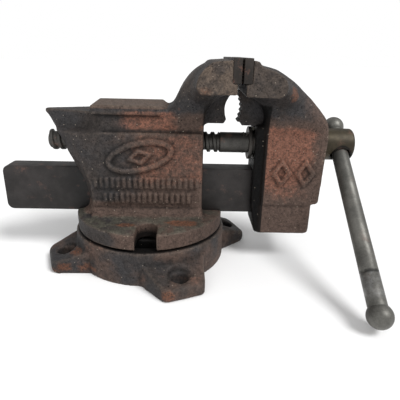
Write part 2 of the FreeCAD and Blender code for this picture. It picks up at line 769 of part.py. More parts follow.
def make_nut_set_screw():
    """Headless screw that locks the nut, from just under the anvil pad."""
    body = new_body("nut_set_screw")
    shank = new_sketch(body, "shank", "top", "size.nut_radius - 3")
    add_circle(shank, "0", "0", "size.plate_screw_radius")
    extrude(body, shank, "14")
    slot = new_sketch(body, "slot", "top", "size.nut_radius + 9.5")
    add_box(slot, "-0.5", "0.5", "-size.plate_screw_radius - 1", "size.plate_screw_radius + 1")
    extrude(body, slot, "3", reverse=True, cut=True)
    body.setExpression("Placement.Base.x", "size.nut_start + size.nut_length / 2")
    body.setExpression("Placement.Base.z", "size.screw_height")
    return body


def make_retaining_washer():
    """Thrust washer between the cotter pin and the spring."""
    body = new_body("retaining_washer")
    profile = new_sketch(body, "profile", "front")
    add_box(profile, "size.washer_start", "size.washer_start + size.washer_thick",
            "size.screw_bore", "size.washer_radius")
    revolve(body, profile, "H_Axis")
    body.setExpression("Placement.Base.z", "size.screw_height")
    return body


def make_retaining_spring():
    """Coil spring that holds the washer off the jaw's inner face."""
    body = new_body("retaining_spring")
    wire = new_sketch(body, "wire", "front")
    start = "size.washer_start + size.washer_thick + size.spring_wire + 0.05"
    travel = f"size.slide_inner - size.spring_wire - 0.05 - ({start})"
    add_circle(wire, start, "size.washer_radius - size.spring_wire", "size.spring_wire")
    coil = body.newObject("PartDesign::AdditiveHelix", "retaining_spring_helix")
    coil.Profile = wire
    coil.ReferenceAxis = (wire, ["H_Axis"])
    coil.Mode = "height-turns-angle"
    coil.setExpression("Height", travel)
    coil.setExpression("Turns", "size.spring_turns")
    finish_feature(body, coil, True)
    body.setExpression("Placement.Base.z", "size.screw_height")
    return body


def make_cotter_pin():
    """Split pin through the screw: an eye at one end and two legs, spread beyond the screw."""
    body = new_body("cotter_pin")
    leg = new_sketch(body, "legs", "top", "-0.5 * size.cotter_radius")
    for side, word in ((-1, "left"), (1, "right")):
        near = f"size.cotter_place + {side} * 0.15"
        far = f"size.cotter_place + {side} * 1.1"
        corners = [
            (near, "size.screw_radius + 1"), (far, "size.screw_radius + 1"),
            (far, "-size.screw_radius - 1"), (f"size.cotter_place + {side} * 2", "-size.cotter_reach"),
            (f"size.cotter_place + {side} * 0.9", "-size.cotter_reach"), (near, "-size.screw_radius - 1"),
        ]
        add_outline(leg, corners, word)
    extrude(body, leg, "size.cotter_radius")
    eye = new_sketch(body, "eye", "top", "-0.5 * size.cotter_radius")
    add_circle(eye, "size.cotter_place", "size.screw_radius + 2.4", "2.1", "outer")
    add_circle(eye, "size.cotter_place", "size.screw_radius + 2.4", "1.1", "inner")
    extrude(body, eye, "size.cotter_radius")
    hang_on_screw(body)
    return body


# ---------------------------------------------------------------- jaw plates and pipe jaws

def make_jaw_plate(label, back, towards):
    """Gripping plate; back is its seat, and towards (1 or -1) points to the other plate."""
    body = new_body(label)
    front = f"{back} + {towards} * size.plate_thick"
    profile = new_sketch(body, "profile", "front")
    add_box(profile, back, front, "size.plate_bottom", "size.plate_top")
    extrude(body, profile, "2 * size.jaw_half", symmetric=True)
    for side, name in ((-1, "near"), (1, "far")):
        outline = screw_outline(back, towards, "0")
        hole = new_sketch(body, f"{name}_hole", "front", f"-({side} * size.plate_screw_reach)")
        hole.setExpression(".AttachmentOffset.Base.y", "size.plate_screw_height")
        add_outline(hole, outline)
        revolve(body, hole, "H_Axis", cut=True)
    return body


def screw_outline(back, towards, length):
    """Half section of a countersunk plate screw, about the sketch's own level axis."""
    front = f"{back} + {towards} * (size.plate_thick - 0.6)"
    return [
        (f"{back} - {towards} * {length}", "0"),
        (f"{back} - {towards} * {length}", "size.plate_screw_radius"),
        (f"{front} - {towards} * (size.plate_screw_head - size.plate_screw_radius)", "size.plate_screw_radius"),
        (front, "size.plate_screw_head"),
        (f"{front} + {towards} * 0.6", "size.plate_screw_head"),
        (f"{front} + {towards} * 0.6", "0"),
    ]


def make_plate_screws(label, back, towards):
    """Both countersunk screws of one plate."""
    body = new_body(label)
    front = f"{back} + {towards} * (size.plate_thick - 0.6)"
    for side, name in ((-1, "near"), (1, "far")):
        shank = new_sketch(body, f"{name}_screw", "front", f"-({side} * size.plate_screw_reach)")
        shank.setExpression(".AttachmentOffset.Base.y", "size.plate_screw_height")
        outline = screw_outline(back, towards, "(size.plate_screw_length - 1)")[:4]
        outline.append((front, "0"))
        add_outline(shank, outline)
        revolve(body, shank, "H_Axis")
    return body


def make_fixed_pipe_jaw():
    """Pipe grip under the fixed plate, with one long hollow face and a filleted heel."""
    body = new_body("fixed_pipe_jaw")
    profile = new_sketch(body, "profile", "front")
    low = "size.pipe_fixed_bottom"
    top = "size.head_under"
    add_outline(profile, [
        ("size.body_front", f"{low} - 3.2"), ("size.body_front + 1", f"{low} - 1.1"),
        ("size.body_front + 3.4", low), ("55.4", low), ("57.2", "109.4"), ("56.1", "112.8"),
        ("55.7", "117.2"), ("56", "119.6"), ("56.8", "122.2"), ("58.4", "125.2"), ("59.9", "127.4"),
        ("60", top), ("size.body_front", top),
    ])
    extrude(body, profile, "2 * size.pipe_half", symmetric=True)
    return body


def make_moving_pipe_jaw():
    """Toothed pipe grip under the moving plate; the crests of its teeth lie on a shallow hollow."""
    body = new_body("moving_pipe_jaw")
    profile = new_sketch(body, "profile", "front")
    bottom = "size.pipe_moving_bottom"
    top = "size.head_under"
    teeth = 5
    low, high = 108, 126.2
    crest, hollow, depth = 65, 2.2, 1.4
    step = (high - low) / teeth
    corners = [("size.slide_inner", bottom), ("68.6", bottom), ("68.8", "107.2"), (str(crest), str(low))]
    for tooth in range(teeth):
        root_share = (tooth + 0.55) / teeth
        tip_share = (tooth + 1) / teeth
        root = crest + depth + hollow * math.sin(math.pi * root_share)
        tip = crest + hollow * math.sin(math.pi * tip_share)
        corners.append((f"{root:.2f}", f"{low + step * (tooth + 0.55):.2f}"))
        corners.append((f"{tip:.2f}", f"{low + step * (tooth + 1):.2f}"))
    corners.extend([("65.6", top), ("size.slide_inner", top)])
    add_outline(profile, corners)
    extrude(body, profile, "2 * size.pipe_half", symmetric=True)
    return body


# ---------------------------------------------------------------- fasteners

def make_hex_nut(label, bottom, height, reach="0"):
    body = new_body(label)
    outline = new_sketch(body, "hexagon", "top", bottom)
    corners = []
    for side in range(6):
        angle = math.radians(60 * side + 30)
        flat = "size.nut_across / sqrt(3)"
        corners.append((f"{flat} * {math.cos(angle):.6f}", f"{flat} * {math.sin(angle):.6f}"))
    add_outline(outline, corners)
    extrude(body, outline, height)
    bore = new_sketch(body, "bore", "top", bottom)
    add_circle(bore, "0", "0", "size.bolt_radius")
    extrude(body, bore, height, reverse=True, cut=True)
    body.setExpression("Placement.Base.y", reach)
    return body


def make_washer(label, bottom, reach="0"):
    body = lathe(label, [
        ("size.bolt_radius", bottom), ("size.washer_outer", bottom),
        ("size.washer_outer", f"{bottom} + size.washer_height"),
        ("size.bolt_radius", f"{bottom} + size.washer_height"),
    ])
    body.setExpression("Placement.Base.y", reach)
    return body


def make_pivot_bolt():
    """Flat-headed swivel pin, let into the floor of the guide channel."""
    head = "size.guide_bottom - 0.5"
    return lathe("pivot_bolt", [
        ("0", "1.5"), ("size.bolt_radius", "1.5"), ("size.bolt_radius", f"{head} - 5"),
        ("size.bolt_head", head), ("0", head),
    ])


def make_lock_bolt():
    """Clamp bolt: its square head hangs in the base's groove."""
    body = new_body("lock_bolt")
    head = new_sketch(body, "head", "top", "size.groove_floor + 1")
    add_box(head, "-8.4", "8.4", "-8.4", "8.4", radius="2")
    extrude(body, head, "size.groove_ceiling - size.groove_floor - 1.3")
    shank = new_sketch(body, "shank", "top", "size.groove_floor + 4")
    add_circle(shank, "0", "0", "size.bolt_radius")
    extrude(body, shank, "size.foot_top + size.washer_height + size.nut_height - size.groove_floor - 2")
    body.setExpression("Placement.Base.y", "size.groove_reach")
    return body


def make_guide_screws():
    """Both cap screws that hold the guide bar, from under the moving jaw."""
    body = new_body("slide_bar_screws")
    heads = new_sketch(body, "heads", "top", "size.slide_bottom + 0.5")
    shanks = new_sketch(body, "shanks", "top", "size.slide_bottom + 0.5")
    for index in (0, 1):
        place = f"size.guide_screw_first + {index} * size.guide_screw_gap"
        add_circle(heads, place, "0", "size.guide_screw_head", f"head{index}")
        add_circle(shanks, place, "0", "size.guide_screw_radius", f"shank{index}")
    extrude(body, heads, "4.5")
    extrude(body, shanks, "size.guide_bottom - size.slide_bottom + size.plate_screw_length - 2")
    return body


# ---------------------------------------------------------------- assembly

def make_parts():
    nut_bottom = "size.recess_top - size.washer_height - size.nut_height - 0.05"
    return [
        make_swivel_base(),
        make_vise_body(),
        make_moving_jaw(),
        make_slide_bar(),
        make_guide_screws(),
        make_lead_screw(),
        make_tommy_bar(),
        make_handle_ball("handle_ball_upper", "size.ball_upper", -1),
        make_handle_ball("handle_ball_lower", "-size.ball_lower", 1),
        make_retaining_washer(),
        make_retaining_spring(),
        make_cotter_pin(),
        make_screw_nut(),
        make_nut_set_screw(),
        make_jaw_plate("fixed_jaw_plate", "size.fixed_seat", 1),
        make_plate_screws("fixed_jaw_plate_screws", "size.fixed_seat", 1),
        make_jaw_plate("moving_jaw_plate", MOVING_SEAT, -1),
        make_plate_screws("moving_jaw_plate_screws", MOVING_SEAT, -1),
        make_fixed_pipe_jaw(),
        make_moving_pipe_jaw(),
        make_pivot_bolt(),
        make_washer("pivot_washer", "size.recess_top - size.washer_height - 0.05"),
        make_hex_nut("pivot_nut", nut_bottom, "size.nut_height"),
        make_lock_bolt(),
        make_washer("lock_washer", "size.foot_top", "size.groove_reach"),
        make_hex_nut("lock_nut", "size.foot_top + size.washer_height", "size.nut_height", "size.groove_reach"),
    ]


def check_document():
    for item in doc.Objects:
        if "Invalid" in item.State or "Error" in item.State:
            raise RuntimeError(f"{item.Name}: {item.State}")


def save_parts(parts):
    """Write each piece's shape to its own file, once all of them are sound."""
    doc.recompute()
    check_document()
    for part in parts:
        if part.Shape.isNull() or not part.Shape.isValid() or not part.Shape.Solids:
            raise RuntimeError(f"{part.Label} has no sound shape")
    os.makedirs("parts", exist_ok=True)
    for part in parts:
        part.Shape.exportStep(f"parts/{part.Label}.step")


save_parts(make_parts())
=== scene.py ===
"""Bench vise: cast skins, machined steel, hand-tool wear, and a plain stage."""

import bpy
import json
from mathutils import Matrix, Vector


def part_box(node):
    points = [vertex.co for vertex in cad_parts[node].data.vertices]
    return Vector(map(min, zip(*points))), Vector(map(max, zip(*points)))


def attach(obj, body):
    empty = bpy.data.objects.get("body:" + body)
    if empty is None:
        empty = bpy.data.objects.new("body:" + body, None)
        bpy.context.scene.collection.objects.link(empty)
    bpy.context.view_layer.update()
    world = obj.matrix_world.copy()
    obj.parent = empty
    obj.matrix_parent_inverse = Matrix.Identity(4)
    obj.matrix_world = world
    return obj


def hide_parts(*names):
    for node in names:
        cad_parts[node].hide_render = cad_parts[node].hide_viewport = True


bl_info = {
    "name": "Bench Vise",
    "version": (1, 0, 0),
    "blender": (4, 5, 0),
    "location": "View3D > Sidebar > Vise",
    "description": "Builds the castings, the screw, the jaws and the fasteners of a swivel-base bench vise",
    "category": "Object",
}

import json
import math

import bmesh
import bpy
import numpy as np
from bpy.props import FloatProperty, FloatVectorProperty, IntProperty, PointerProperty
from mathutils import Matrix, Vector

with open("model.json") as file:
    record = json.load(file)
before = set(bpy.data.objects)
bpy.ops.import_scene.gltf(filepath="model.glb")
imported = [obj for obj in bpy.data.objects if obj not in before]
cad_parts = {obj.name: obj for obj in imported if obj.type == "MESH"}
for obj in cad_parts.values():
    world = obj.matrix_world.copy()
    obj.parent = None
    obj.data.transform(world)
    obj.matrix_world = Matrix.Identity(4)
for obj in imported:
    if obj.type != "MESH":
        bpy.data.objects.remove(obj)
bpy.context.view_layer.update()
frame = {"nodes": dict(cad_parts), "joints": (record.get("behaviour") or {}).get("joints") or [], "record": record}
MM = 0.001

# The bodies of the frame, which the pieces ride on.
BASE, BODY, SLIDE, SCREW, HANDLE = "base", "body", "slide", "screw", "handle"


def joint(name):
    """One joint of the frame."""
    return next(item for item in frame["joints"] if item["name"] == name)


# ---------------------------------------------------------------- node trees

class Wire:
    """A socket of a node tree that takes part in Python arithmetic."""

    def __init__(self, maker, socket):
        self.maker = maker
        self.socket = socket

    def _math(self, operation, *values):
        return self.maker.node("ShaderNodeMath", {"operation": operation}, dict(enumerate(values)))

    def __add__(self, other):
        return self._math("ADD", self, other)

    def __radd__(self, other):
        return self._math("ADD", other, self)

    def __sub__(self, other):
        return self._math("SUBTRACT", self, other)

    def __rsub__(self, other):
        return self._math("SUBTRACT", other, self)

    def __mul__(self, other):
        return self._math("MULTIPLY", self, other)

    def __rmul__(self, other):
        return self._math("MULTIPLY", other, self)

    def __truediv__(self, other):
        return self._math("DIVIDE", self, other)

    def __rtruediv__(self, other):
        return self._math("DIVIDE", other, self)

    def __abs__(self):
        return self._math("ABSOLUTE", self)

    def most(self, other):
        return self._math("MAXIMUM", self, other)

    def least(self, other):
        return self._math("MINIMUM", self, other)

    def rise(self, low, high):
        """0 below low, 1 above high, and a smooth rise between them; low may be the larger."""
        if low > high:
            return 1 - self.rise(high, low)
        return self.maker.node("ShaderNodeMapRange", {"interpolation_type": "SMOOTHSTEP"},
                               {"Value": self, "From Min": low, "From Max": high})


class Tree:
    """Adds nodes to a node tree: settings first, then the values or links of the sockets."""

    def __init__(self, tree):
        self.tree = tree

    def node(self, kind, settings=None, inputs=None, output=0):
        made = self.tree.nodes.new(kind)
        for name, setting in (settings or {}).items():
            setattr(made, name, setting)
        for key, given in (inputs or {}).items():
            if isinstance(given, Wire):
                self.tree.links.new(given.socket, made.inputs[key])
            else:
                made.inputs[key].default_value = given
        return Wire(self, made.outputs[output]) if made.outputs else made

    def vector(self, operation, *values, output=0):
        """Vector maths on wires or plain vectors."""
        return self.node("ShaderNodeVectorMath", {"operation": operation}, dict(enumerate(values)), output)

    def parts(self, place):
        """The three coordinates of a place, in metres."""
        return [self.node("ShaderNodeSeparateXYZ", {}, {0: place}, output=axis) for axis in range(3)]


class ShaderTree(Tree):
    """Node tree of one material, with the patterns that its finish is made of."""

    def __init__(self, name):
        self.material = bpy.data.materials.new(name)
        self.material.use_nodes = True
        super().__init__(self.material.node_tree)
        self.tree.nodes.clear()
        self.place = self.node("ShaderNodeTexCoord", output="Object")

    def axes(self):
        """Object coordinates in millimetres: along the screw, across the jaws, and up."""
        return [part / MM for part in self.parts(self.place)]

    def stretched(self, across, deep, up):
        """Object coordinates scaled by axis, for patterns that run one way."""
        return self.node("ShaderNodeMapping", {}, {"Vector": self.place, "Scale": (across, deep, up)})

    def noise(self, grain, detail=4.0, rough=0.55, shift=0.0, place=None):
        """Noise from 0 to 1 whose lumps are about one grain across, in millimetres."""
        moved = place or self.place
        if shift:
            moved = self.vector("ADD", moved, (shift, shift * 0.7, -shift))
        inputs = {"Vector": moved, "Scale": 1 / (grain * MM), "Detail": detail, "Roughness": rough}
        return self.node("ShaderNodeTexNoise", {"noise_dimensions": "3D"}, inputs)

    def dots(self, gap, radius, share):
        """Round dots, one in each cell of a gap's width, kept in only a share of the cells."""
        inputs = {"Vector": self.place, "Scale": 1 / (gap * MM)}
        spread = self.node("ShaderNodeTexVoronoi", {"feature": "F1"}, inputs)
        cell = Wire(self, spread.socket.node.outputs["Color"])
        chance = self.node("ShaderNodeSeparateColor", {}, {0: cell})
        return spread.rise(radius / gap, 0.5 * radius / gap) * chance.rise(1 - share, 1.02 - share)

    def nearness(self, centre, reach):
        """1 at a point, falling to 0 at a reach (across, deep, up) from it, all in millimetres."""
        scaled = self.vector("DIVIDE", self.away(centre), tuple(Vector(reach) * MM))
        return 1 - self.vector("LENGTH", scaled, output="Value")

    def away(self, point):
        """Vector from a point given in millimetres."""
        return self.vector("SUBTRACT", self.place, tuple(Vector(point) * MM))

    def off_line(self, point, direction):
        """Distance in millimetres from a line through a point, along a unit direction."""
        across_line = self.vector("CROSS_PRODUCT", self.away(point), tuple(direction))
        return self.vector("LENGTH", across_line, output="Value") / MM

    def along(self, point, direction):
        """Distance past a point along a unit direction, in millimetres."""
        return self.vector("DOT_PRODUCT", self.away(point), tuple(direction), output="Value") / MM

    def blend(self, share, first, second):
        """Colour between two colours, by a share from 0 to 1."""
        inputs = {0: share, 6: self._color(first), 7: self._color(second)}
        return self.node("ShaderNodeMix", {"data_type": "RGBA"}, inputs, output=2)

    @staticmethod
    def _color(given):
        return given if isinstance(given, Wire) else (*tuple(given)[:3], 1.0)

    def shade(self, color, factor):
        """Colour times a varying factor."""
        grey = self.node("ShaderNodeCombineXYZ", {}, {0: factor, 1: factor, 2: factor})
        return self.vector("MULTIPLY", color, grey)

    def mark(self, name):
        """A shape's own attribute, stored on its vertices."""
        return self.node("ShaderNodeAttribute", {"attribute_name": name}, output="Fac")

    def bump(self, height, depth, strength=1.0):
        """Normal from a height pattern; depth is the pattern's height in millimetres."""
        inputs = {"Height": height, "Distance": depth * MM, "Strength": strength}
        return self.node("ShaderNodeBump", {}, inputs)

    def finish(self, color, roughness, metallic, normal=None, specular=0.5):
        inputs = {"Base Color": color, "Roughness": roughness, "Metallic": metallic,
                  "Specular IOR Level": specular}
        if normal:
            inputs["Normal"] = normal
        surface = self.node("ShaderNodeBsdfPrincipled", {}, inputs)
        self.node("ShaderNodeOutputMaterial", {}, {"Surface": surface})
        return self.material


class ShapeTree(Tree):
    """Geometry Nodes tree with named inputs, ending in Realize Instances and Set Material."""

    KINDS = {float: "NodeSocketFloat", int: "NodeSocketInt", tuple: "NodeSocketVector"}

    def __init__(self, name, inputs):
        tree = bpy.data.node_groups.new(name, "GeometryNodeTree")
        super().__init__(tree)
        tree.interface.new_socket("Geometry", in_out="INPUT", socket_type="NodeSocketGeometry")
        tree.interface.new_socket("Geometry", in_out="OUTPUT", socket_type="NodeSocketGeometry")
        self.given = dict(inputs)
        for label, number in inputs.items():
            kind = self.KINDS[type(number)]
            tree.interface.new_socket(label, in_out="INPUT", socket_type=kind)
        self.entry = tree.nodes.new("NodeGroupInput")

    def input(self, name):
        return Wire(self, self.entry.outputs[name])

    def end(self, geometry, material):
        real = self.node("GeometryNodeRealizeInstances", {}, {0: geometry})
        painted = self.node("GeometryNodeSetMaterial", {}, {"Geometry": real, "Material": material})
        self.node("NodeGroupOutput", {}, {0: painted})

    def grow(self, piece):
        """Run the tree on a piece and return the plain mesh that it gives."""
        modifier = piece.modifiers.new(self.tree.name, "NODES")
        modifier.node_group = self.tree
        for item in self.tree.interface.items_tree:
            if item.in_out == "INPUT" and item.name in self.given:
                modifier[item.identifier] = self.given[item.name]
        return baked(piece)


# ---------------------------------------------------------------- meshes

def baked(piece):
    """Plain mesh of a piece with its modifiers applied; the piece itself is removed."""
    depsgraph = bpy.context.evaluated_depsgraph_get()
    mesh = bpy.data.meshes.new_from_object(piece.evaluated_get(depsgraph))
    old = piece.data
    bpy.data.objects.remove(piece)
    bpy.data.meshes.remove(old)
    return mesh


def placed(mesh, name="work"):
    """Object for a mesh, in the scene."""
    piece = bpy.data.objects.new(name, mesh)
    bpy.context.scene.collection.objects.link(piece)
    return piece


def modified(mesh, kind, **settings):
    """Mesh after one modifier."""
    piece = placed(mesh)
    modifier = piece.modifiers.new(kind, kind)
    for name, setting in settings.items():
        setattr(modifier, name, setting)
    return baked(piece)


def solid(points, faces):
    """Mesh from points in millimetres, with its doubles merged and its faces outwards."""
    mesh = bpy.data.meshes.new("solid")
    mesh.from_pydata([Vector(point) * MM for point in points], [], faces)
    return tidied(mesh)


def tidied(mesh, gap=0.001):
    work = bmesh.new()
    work.from_mesh(mesh)
    bmesh.ops.remove_doubles(work, verts=work.verts, dist=gap * MM)
    bmesh.ops.recalc_face_normals(work, faces=work.faces)
    work.to_mesh(mesh)
    work.free()
    return mesh


def joined(*meshes):
    """One mesh that holds several."""
    work = bmesh.new()
    for mesh in meshes:
        work.from_mesh(mesh)
    result = bpy.data.meshes.new("joined")
    work.to_mesh(result)
    work.free()
    return result


def moved(mesh, matrix):
    mesh.transform(matrix)
    return mesh


def at(x, y, z):
    """Move to a point given in millimetres."""
    return Matrix.Translation(Vector((x, y, z)) * MM)


ALONG_X = Matrix.Rotation(math.radians(90), 4, "Y")


def turned(profile, segments=96):
    """Solid of revolution about Z, from (radius, height) points; it starts and ends on the axis."""
    points = []
    faces = []
    for radius, height in profile:
        for step in range(segments):
            angle = 2 * math.pi * step / segments
            points.append((radius * math.cos(angle), radius * math.sin(angle), height))
    rows = len(profile)
    for row in range(rows - 1):
        for step in range(segments):
            after = (step + 1) % segments
            faces.append((row * segments + step, row * segments + after,
                          (row + 1) * segments + after, (row + 1) * segments + step))
    return solid(points, faces)


def ring_of(profile, segments=96):
    """Hollow solid of revolution about Z, from a closed outline of (radius, height) points."""
    return turned([*profile, profile[0]], segments)


def extruded(outline, half, flat=False):
    """Prism from an outline in millimetres, upright in the XZ plane or lying flat in the XY plane."""
    count = len(outline)
    points = [(a, b, depth) if flat else (a, depth, b) for depth in (-half, half) for a, b in outline]
    faces = [tuple(range(count)), tuple(range(2 * count - 1, count - 1, -1))]
    faces += [(i, (i + 1) % count, count + (i + 1) % count, count + i) for i in range(count)]
    return solid(points, faces)


def block(low, high):
    """Box between two corners, in millimetres."""
    outline = [(low[0], low[2]), (high[0], low[2]), (high[0], high[2]), (low[0], high[2])]
    box = extruded(outline, (high[1] - low[1]) / 2)
    return moved(box, at(0, (low[1] + high[1]) / 2, 0))


def bevelled(mesh, width, segments=3, angle=30):
    """Rounded edges where faces meet at more than an angle."""
    return modified(mesh, "BEVEL", width=width * MM, segments=segments, limit_method="ANGLE",
                    angle_limit=math.radians(angle), harden_normals=False)


def rounded_corner(centre, radius, start, end, steps=6):
    """Points of an arc, angles in degrees."""
    angles = [math.radians(start + (end - start) * step / steps) for step in range(steps + 1)]
    return [(centre[0] + radius * math.cos(angle), centre[1] + radius * math.sin(angle)) for angle in angles]


def copies_in_line(mesh, name, count, start, step, material):
    """Copies of a small mesh in a straight row."""
    source = placed(mesh, f"{name}_source")
    tree = ShapeTree(name, {
        "Count": count, "Start": tuple(Vector(start) * MM), "Step": tuple(Vector(step) * MM),
    })
    line = tree.node("GeometryNodeMeshLine", {"mode": "OFFSET"},
                     {"Count": tree.input("Count"), "Start Location": tree.input("Start"),
                      "Offset": tree.input("Step")})
    item = tree.node("GeometryNodeObjectInfo", {}, {"Object": source}, output="Geometry")
    row = tree.node("GeometryNodeInstanceOnPoints", {}, {"Points": line, "Instance": item})
    tree.end(row, material)
    made = tree.grow(placed(bpy.data.meshes.new(name)))
    bpy.data.objects.remove(source)
    return made


def finished(mesh, name, body, material, nodes, smooth_angle=35):
    """Turn a mesh into a finished piece that rides on a body and stands for CAD nodes."""
    mesh.name = name
    mesh.materials.clear()
    mesh.materials.append(material)
    mesh.polygons.foreach_set("material_index", [0] * len(mesh.polygons))
    mesh.polygons.foreach_set("use_smooth", [True] * len(mesh.polygons))
    if smooth_angle < 180:
        mesh.set_sharp_from_angle(angle=math.radians(smooth_angle))
    piece = placed(mesh, name)
    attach(piece, body)
    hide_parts(*nodes)
    return piece


# ---------------------------------------------------------------- cast skins

def mesh_points(mesh):
    points = np.empty(len(mesh.vertices) * 3, np.float64)
    mesh.vertices.foreach_get("co", points)
    return points.reshape(-1, 3)


def mesh_normals(mesh):
    normals = np.empty(len(mesh.vertices) * 3, np.float64)
    mesh.vertex_normals.foreach_get("vector", normals)
    return normals.reshape(-1, 3)


def relaxed(mesh, points, rounds, share):
    """Points moved towards the mean of their neighbours; share is one number or one for each point."""
    edges = np.empty(len(mesh.edges) * 2, np.int64)
    mesh.edges.foreach_get("vertices", edges)
    first, second = edges.reshape(-1, 2).T
    count = len(points)
    links = np.maximum(np.bincount(first, minlength=count) + np.bincount(second, minlength=count), 1)
    share = np.asarray(share, float).reshape(-1, 1)
    for _ in range(rounds):
        mean = np.stack([
            np.bincount(first, points[second, axis], count) + np.bincount(second, points[first, axis], count)
            for axis in range(3)
        ], axis=1) / links[:, None]
        points = points + share * (mean - points)
    return points


def set_mark(mesh, name, values):
    """Store one number for each vertex."""
    mark = mesh.attributes.new(name, "FLOAT", "POINT")
    mark.data.foreach_set("value", np.asarray(values, np.float32))


def fade(values, low, high):
    """0 at low and beyond, 1 at high and beyond, straight between; low may be the larger."""
    return np.clip((values - low) / (high - low), 0, 1)


def grained(mesh, material, lump_size, lump_height, grain_size, grain_height):
    """Cast surface: wide lumps and a fine grain along the normal, where the mark rough says so."""
    tree = ShapeTree("cast_surface", {
        "Lump Size": lump_size * MM, "Lump Height": lump_height * MM,
        "Grain Size": grain_size * MM, "Grain Height": grain_height * MM,
    })
    rough = tree.node("GeometryNodeInputNamedAttribute", {"data_type": "FLOAT"}, {"Name": "rough"})
    normal = tree.node("GeometryNodeInputNormal")
    place = tree.node("GeometryNodeInputPosition")
    lumps = tree.node("ShaderNodeTexNoise", {},
                      {"Vector": place, "Scale": 1 / tree.input("Lump Size"), "Detail": 2.0})
    grain = tree.node("ShaderNodeTexNoise", {},
                      {"Vector": place, "Scale": 1 / tree.input("Grain Size"), "Detail": 1.0})
    height = (lumps - 0.5) * tree.input("Lump Height") + (grain - 0.5) * tree.input("Grain Height")
    offset = tree.node("ShaderNodeVectorMath", {"operation": "SCALE"}, {0: normal, "Scale": height * rough})
    raised = tree.node("GeometryNodeSetPosition", {}, {"Geometry": tree.input("Geometry"), "Offset": offset})
    tree.end(raised, material)
    return tree.grow(placed(mesh))


def mark_wear_and_hollow_shade(mesh, reach):
    """Store how proud each vertex stands of its surroundings, for worn edges, and how deep it lies, for painted
    shade in hollows.
    """
    points = mesh_points(mesh)
    proud = np.einsum("ij,ij->i", points - relaxed(mesh, points, 10, 0.7), mesh_normals(mesh)) / (reach * MM)
    set_mark(mesh, "edge", np.clip(proud, 0, 1))
    set_mark(mesh, "hollow", np.clip(-proud, 0, 1))


def cast_skin(node, settings, reliefs, softness, roughness, material):
    """Skin of a casting: its solid with the reliefs on it, its edges relaxed and its faces grained.

    softness gives how much each point's edges are rounded, and roughness where the grain shows.
    """
    work = tidied(frame["nodes"][node].data.copy(), 0.01)
    shape = joined(work, *reliefs)
    shape = modified(shape, "REMESH", mode="VOXEL", voxel_size=settings.voxel * MM, adaptivity=0.0)
    points = mesh_points(shape)
    points = relaxed(shape, points, settings.rounding, 0.6)
    points = relaxed(shape, points, settings.fillet, 0.9 * softness(points / MM))
    shape.vertices.foreach_set("co", points.ravel())
    shape.update()
    triangles = sum(len(face.vertices) - 2 for face in shape.polygons)
    if triangles > settings.triangles:
        shape = modified(shape, "DECIMATE", ratio=settings.triangles / triangles)
    set_mark(shape, "rough", roughness(mesh_points(shape) / MM))
    shape = grained(shape, material, settings.lump_size, settings.lump_height,
                    settings.grain_size, settings.grain_height)
    low, high = (np.array(corner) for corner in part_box(node))
    shape.vertices.foreach_set("co", np.clip(mesh_points(shape), low, high).ravel())
    shape.update()
    mark_wear_and_hollow_shade(shape, settings.wear_reach)
    return shape


# ---------------------------------------------------------------- settings

def length(name, description, default, low=0.0, high=500.0):
    return FloatProperty(name=name, description=description, default=default, min=low, max=high)


def tint(name, description, default):
    return FloatVectorProperty(name=name, description=description, default=default, subtype="COLOR",
                               min=0.0, max=1.0, size=3)


class VISE_PG_casting(bpy.types.PropertyGroup):
    """Skin and rust of the three castings, lengths in millimetres."""

    voxel: length("Facet", "Size of the skin's facets", 0.75, 0.3, 5.0)
    triangles: IntProperty(name="Triangles", description="Most triangles in one skin", default=190000)
    rounding: IntProperty(name="Rounding", description="How far every edge is rounded", default=2)
    fillet: IntProperty(name="Fillet", description="How far soft corners are filled", default=60)
    lump_size: length("Lump size", "Width of the casting's wide lumps", 9.0)
    lump_height: length("Lump height", "Height of the casting's wide lumps", 0.45)
    grain_size: length("Grain size", "Width of the sand grain", 1.7)
    grain_height: length("Grain height", "Height of the sand grain", 0.28)
    wear_reach: length("Wear reach", "How proud an edge stands where it is worn bright", 0.3)
    relief: length("Relief", "How proud the raised marks stand", 1.7)
    skin: tint("Skin", "Old dark skin of the iron", (0.036, 0.03, 0.0275))
    cold: tint("Cold", "Bluish black skin in sheltered places", (0.034, 0.0322, 0.0335))
    brown: tint("Brown", "Thin brown film", (0.078, 0.052, 0.0415))
    rust: tint("Rust", "Copper-red rust", (0.175, 0.076, 0.05))
    ochre: tint("Ochre", "Loose orange rust", (0.13, 0.052, 0.027))
    # The ground colour is also used to paint light on the top of the fixed jaw's arch.
    ground: tint("Ground", "Olive tan of old ground faces", (0.09, 0.068, 0.053))
    moss: tint("Moss", "Grey green of the oiled foot", (0.07, 0.066, 0.052))
    sparkle: tint("Sparkle", "Bright specks", (0.4, 0.34, 0.27))


class VISE_PG_steel(bpy.types.PropertyGroup):
    """Finishes of the steel pieces."""

    guide: tint("Guide bar", "Oil-black guide bar", (0.0215, 0.018, 0.017))
    screw: tint("Screw", "Dark oiled screw", (0.072, 0.068, 0.062))
    head: tint("Screw head", "Olive grey screw head", (0.05, 0.039, 0.023))
    handle: tint("Handle", "Worn grey handle steel", (0.136, 0.132, 0.119))
    scuffed: tint("Scuffed handle", "Bright scuffed end of the handle", (0.23, 0.228, 0.22))
    plate: tint("Jaw plates", "Brown-grey jaw plates", (0.036, 0.03, 0.026))
    fastener: tint("Fasteners", "Dull fasteners", (0.055, 0.049, 0.044))
    spring: tint("Spring", "Bare spring wire", (0.12, 0.115, 0.1))
    knurl_pitch: length("Knurl pitch", "Spacing of the grips on the jaw plates", 1.6)
    knurl_height: length("Knurl height", "Height of the grips on the jaw plates", 0.45)


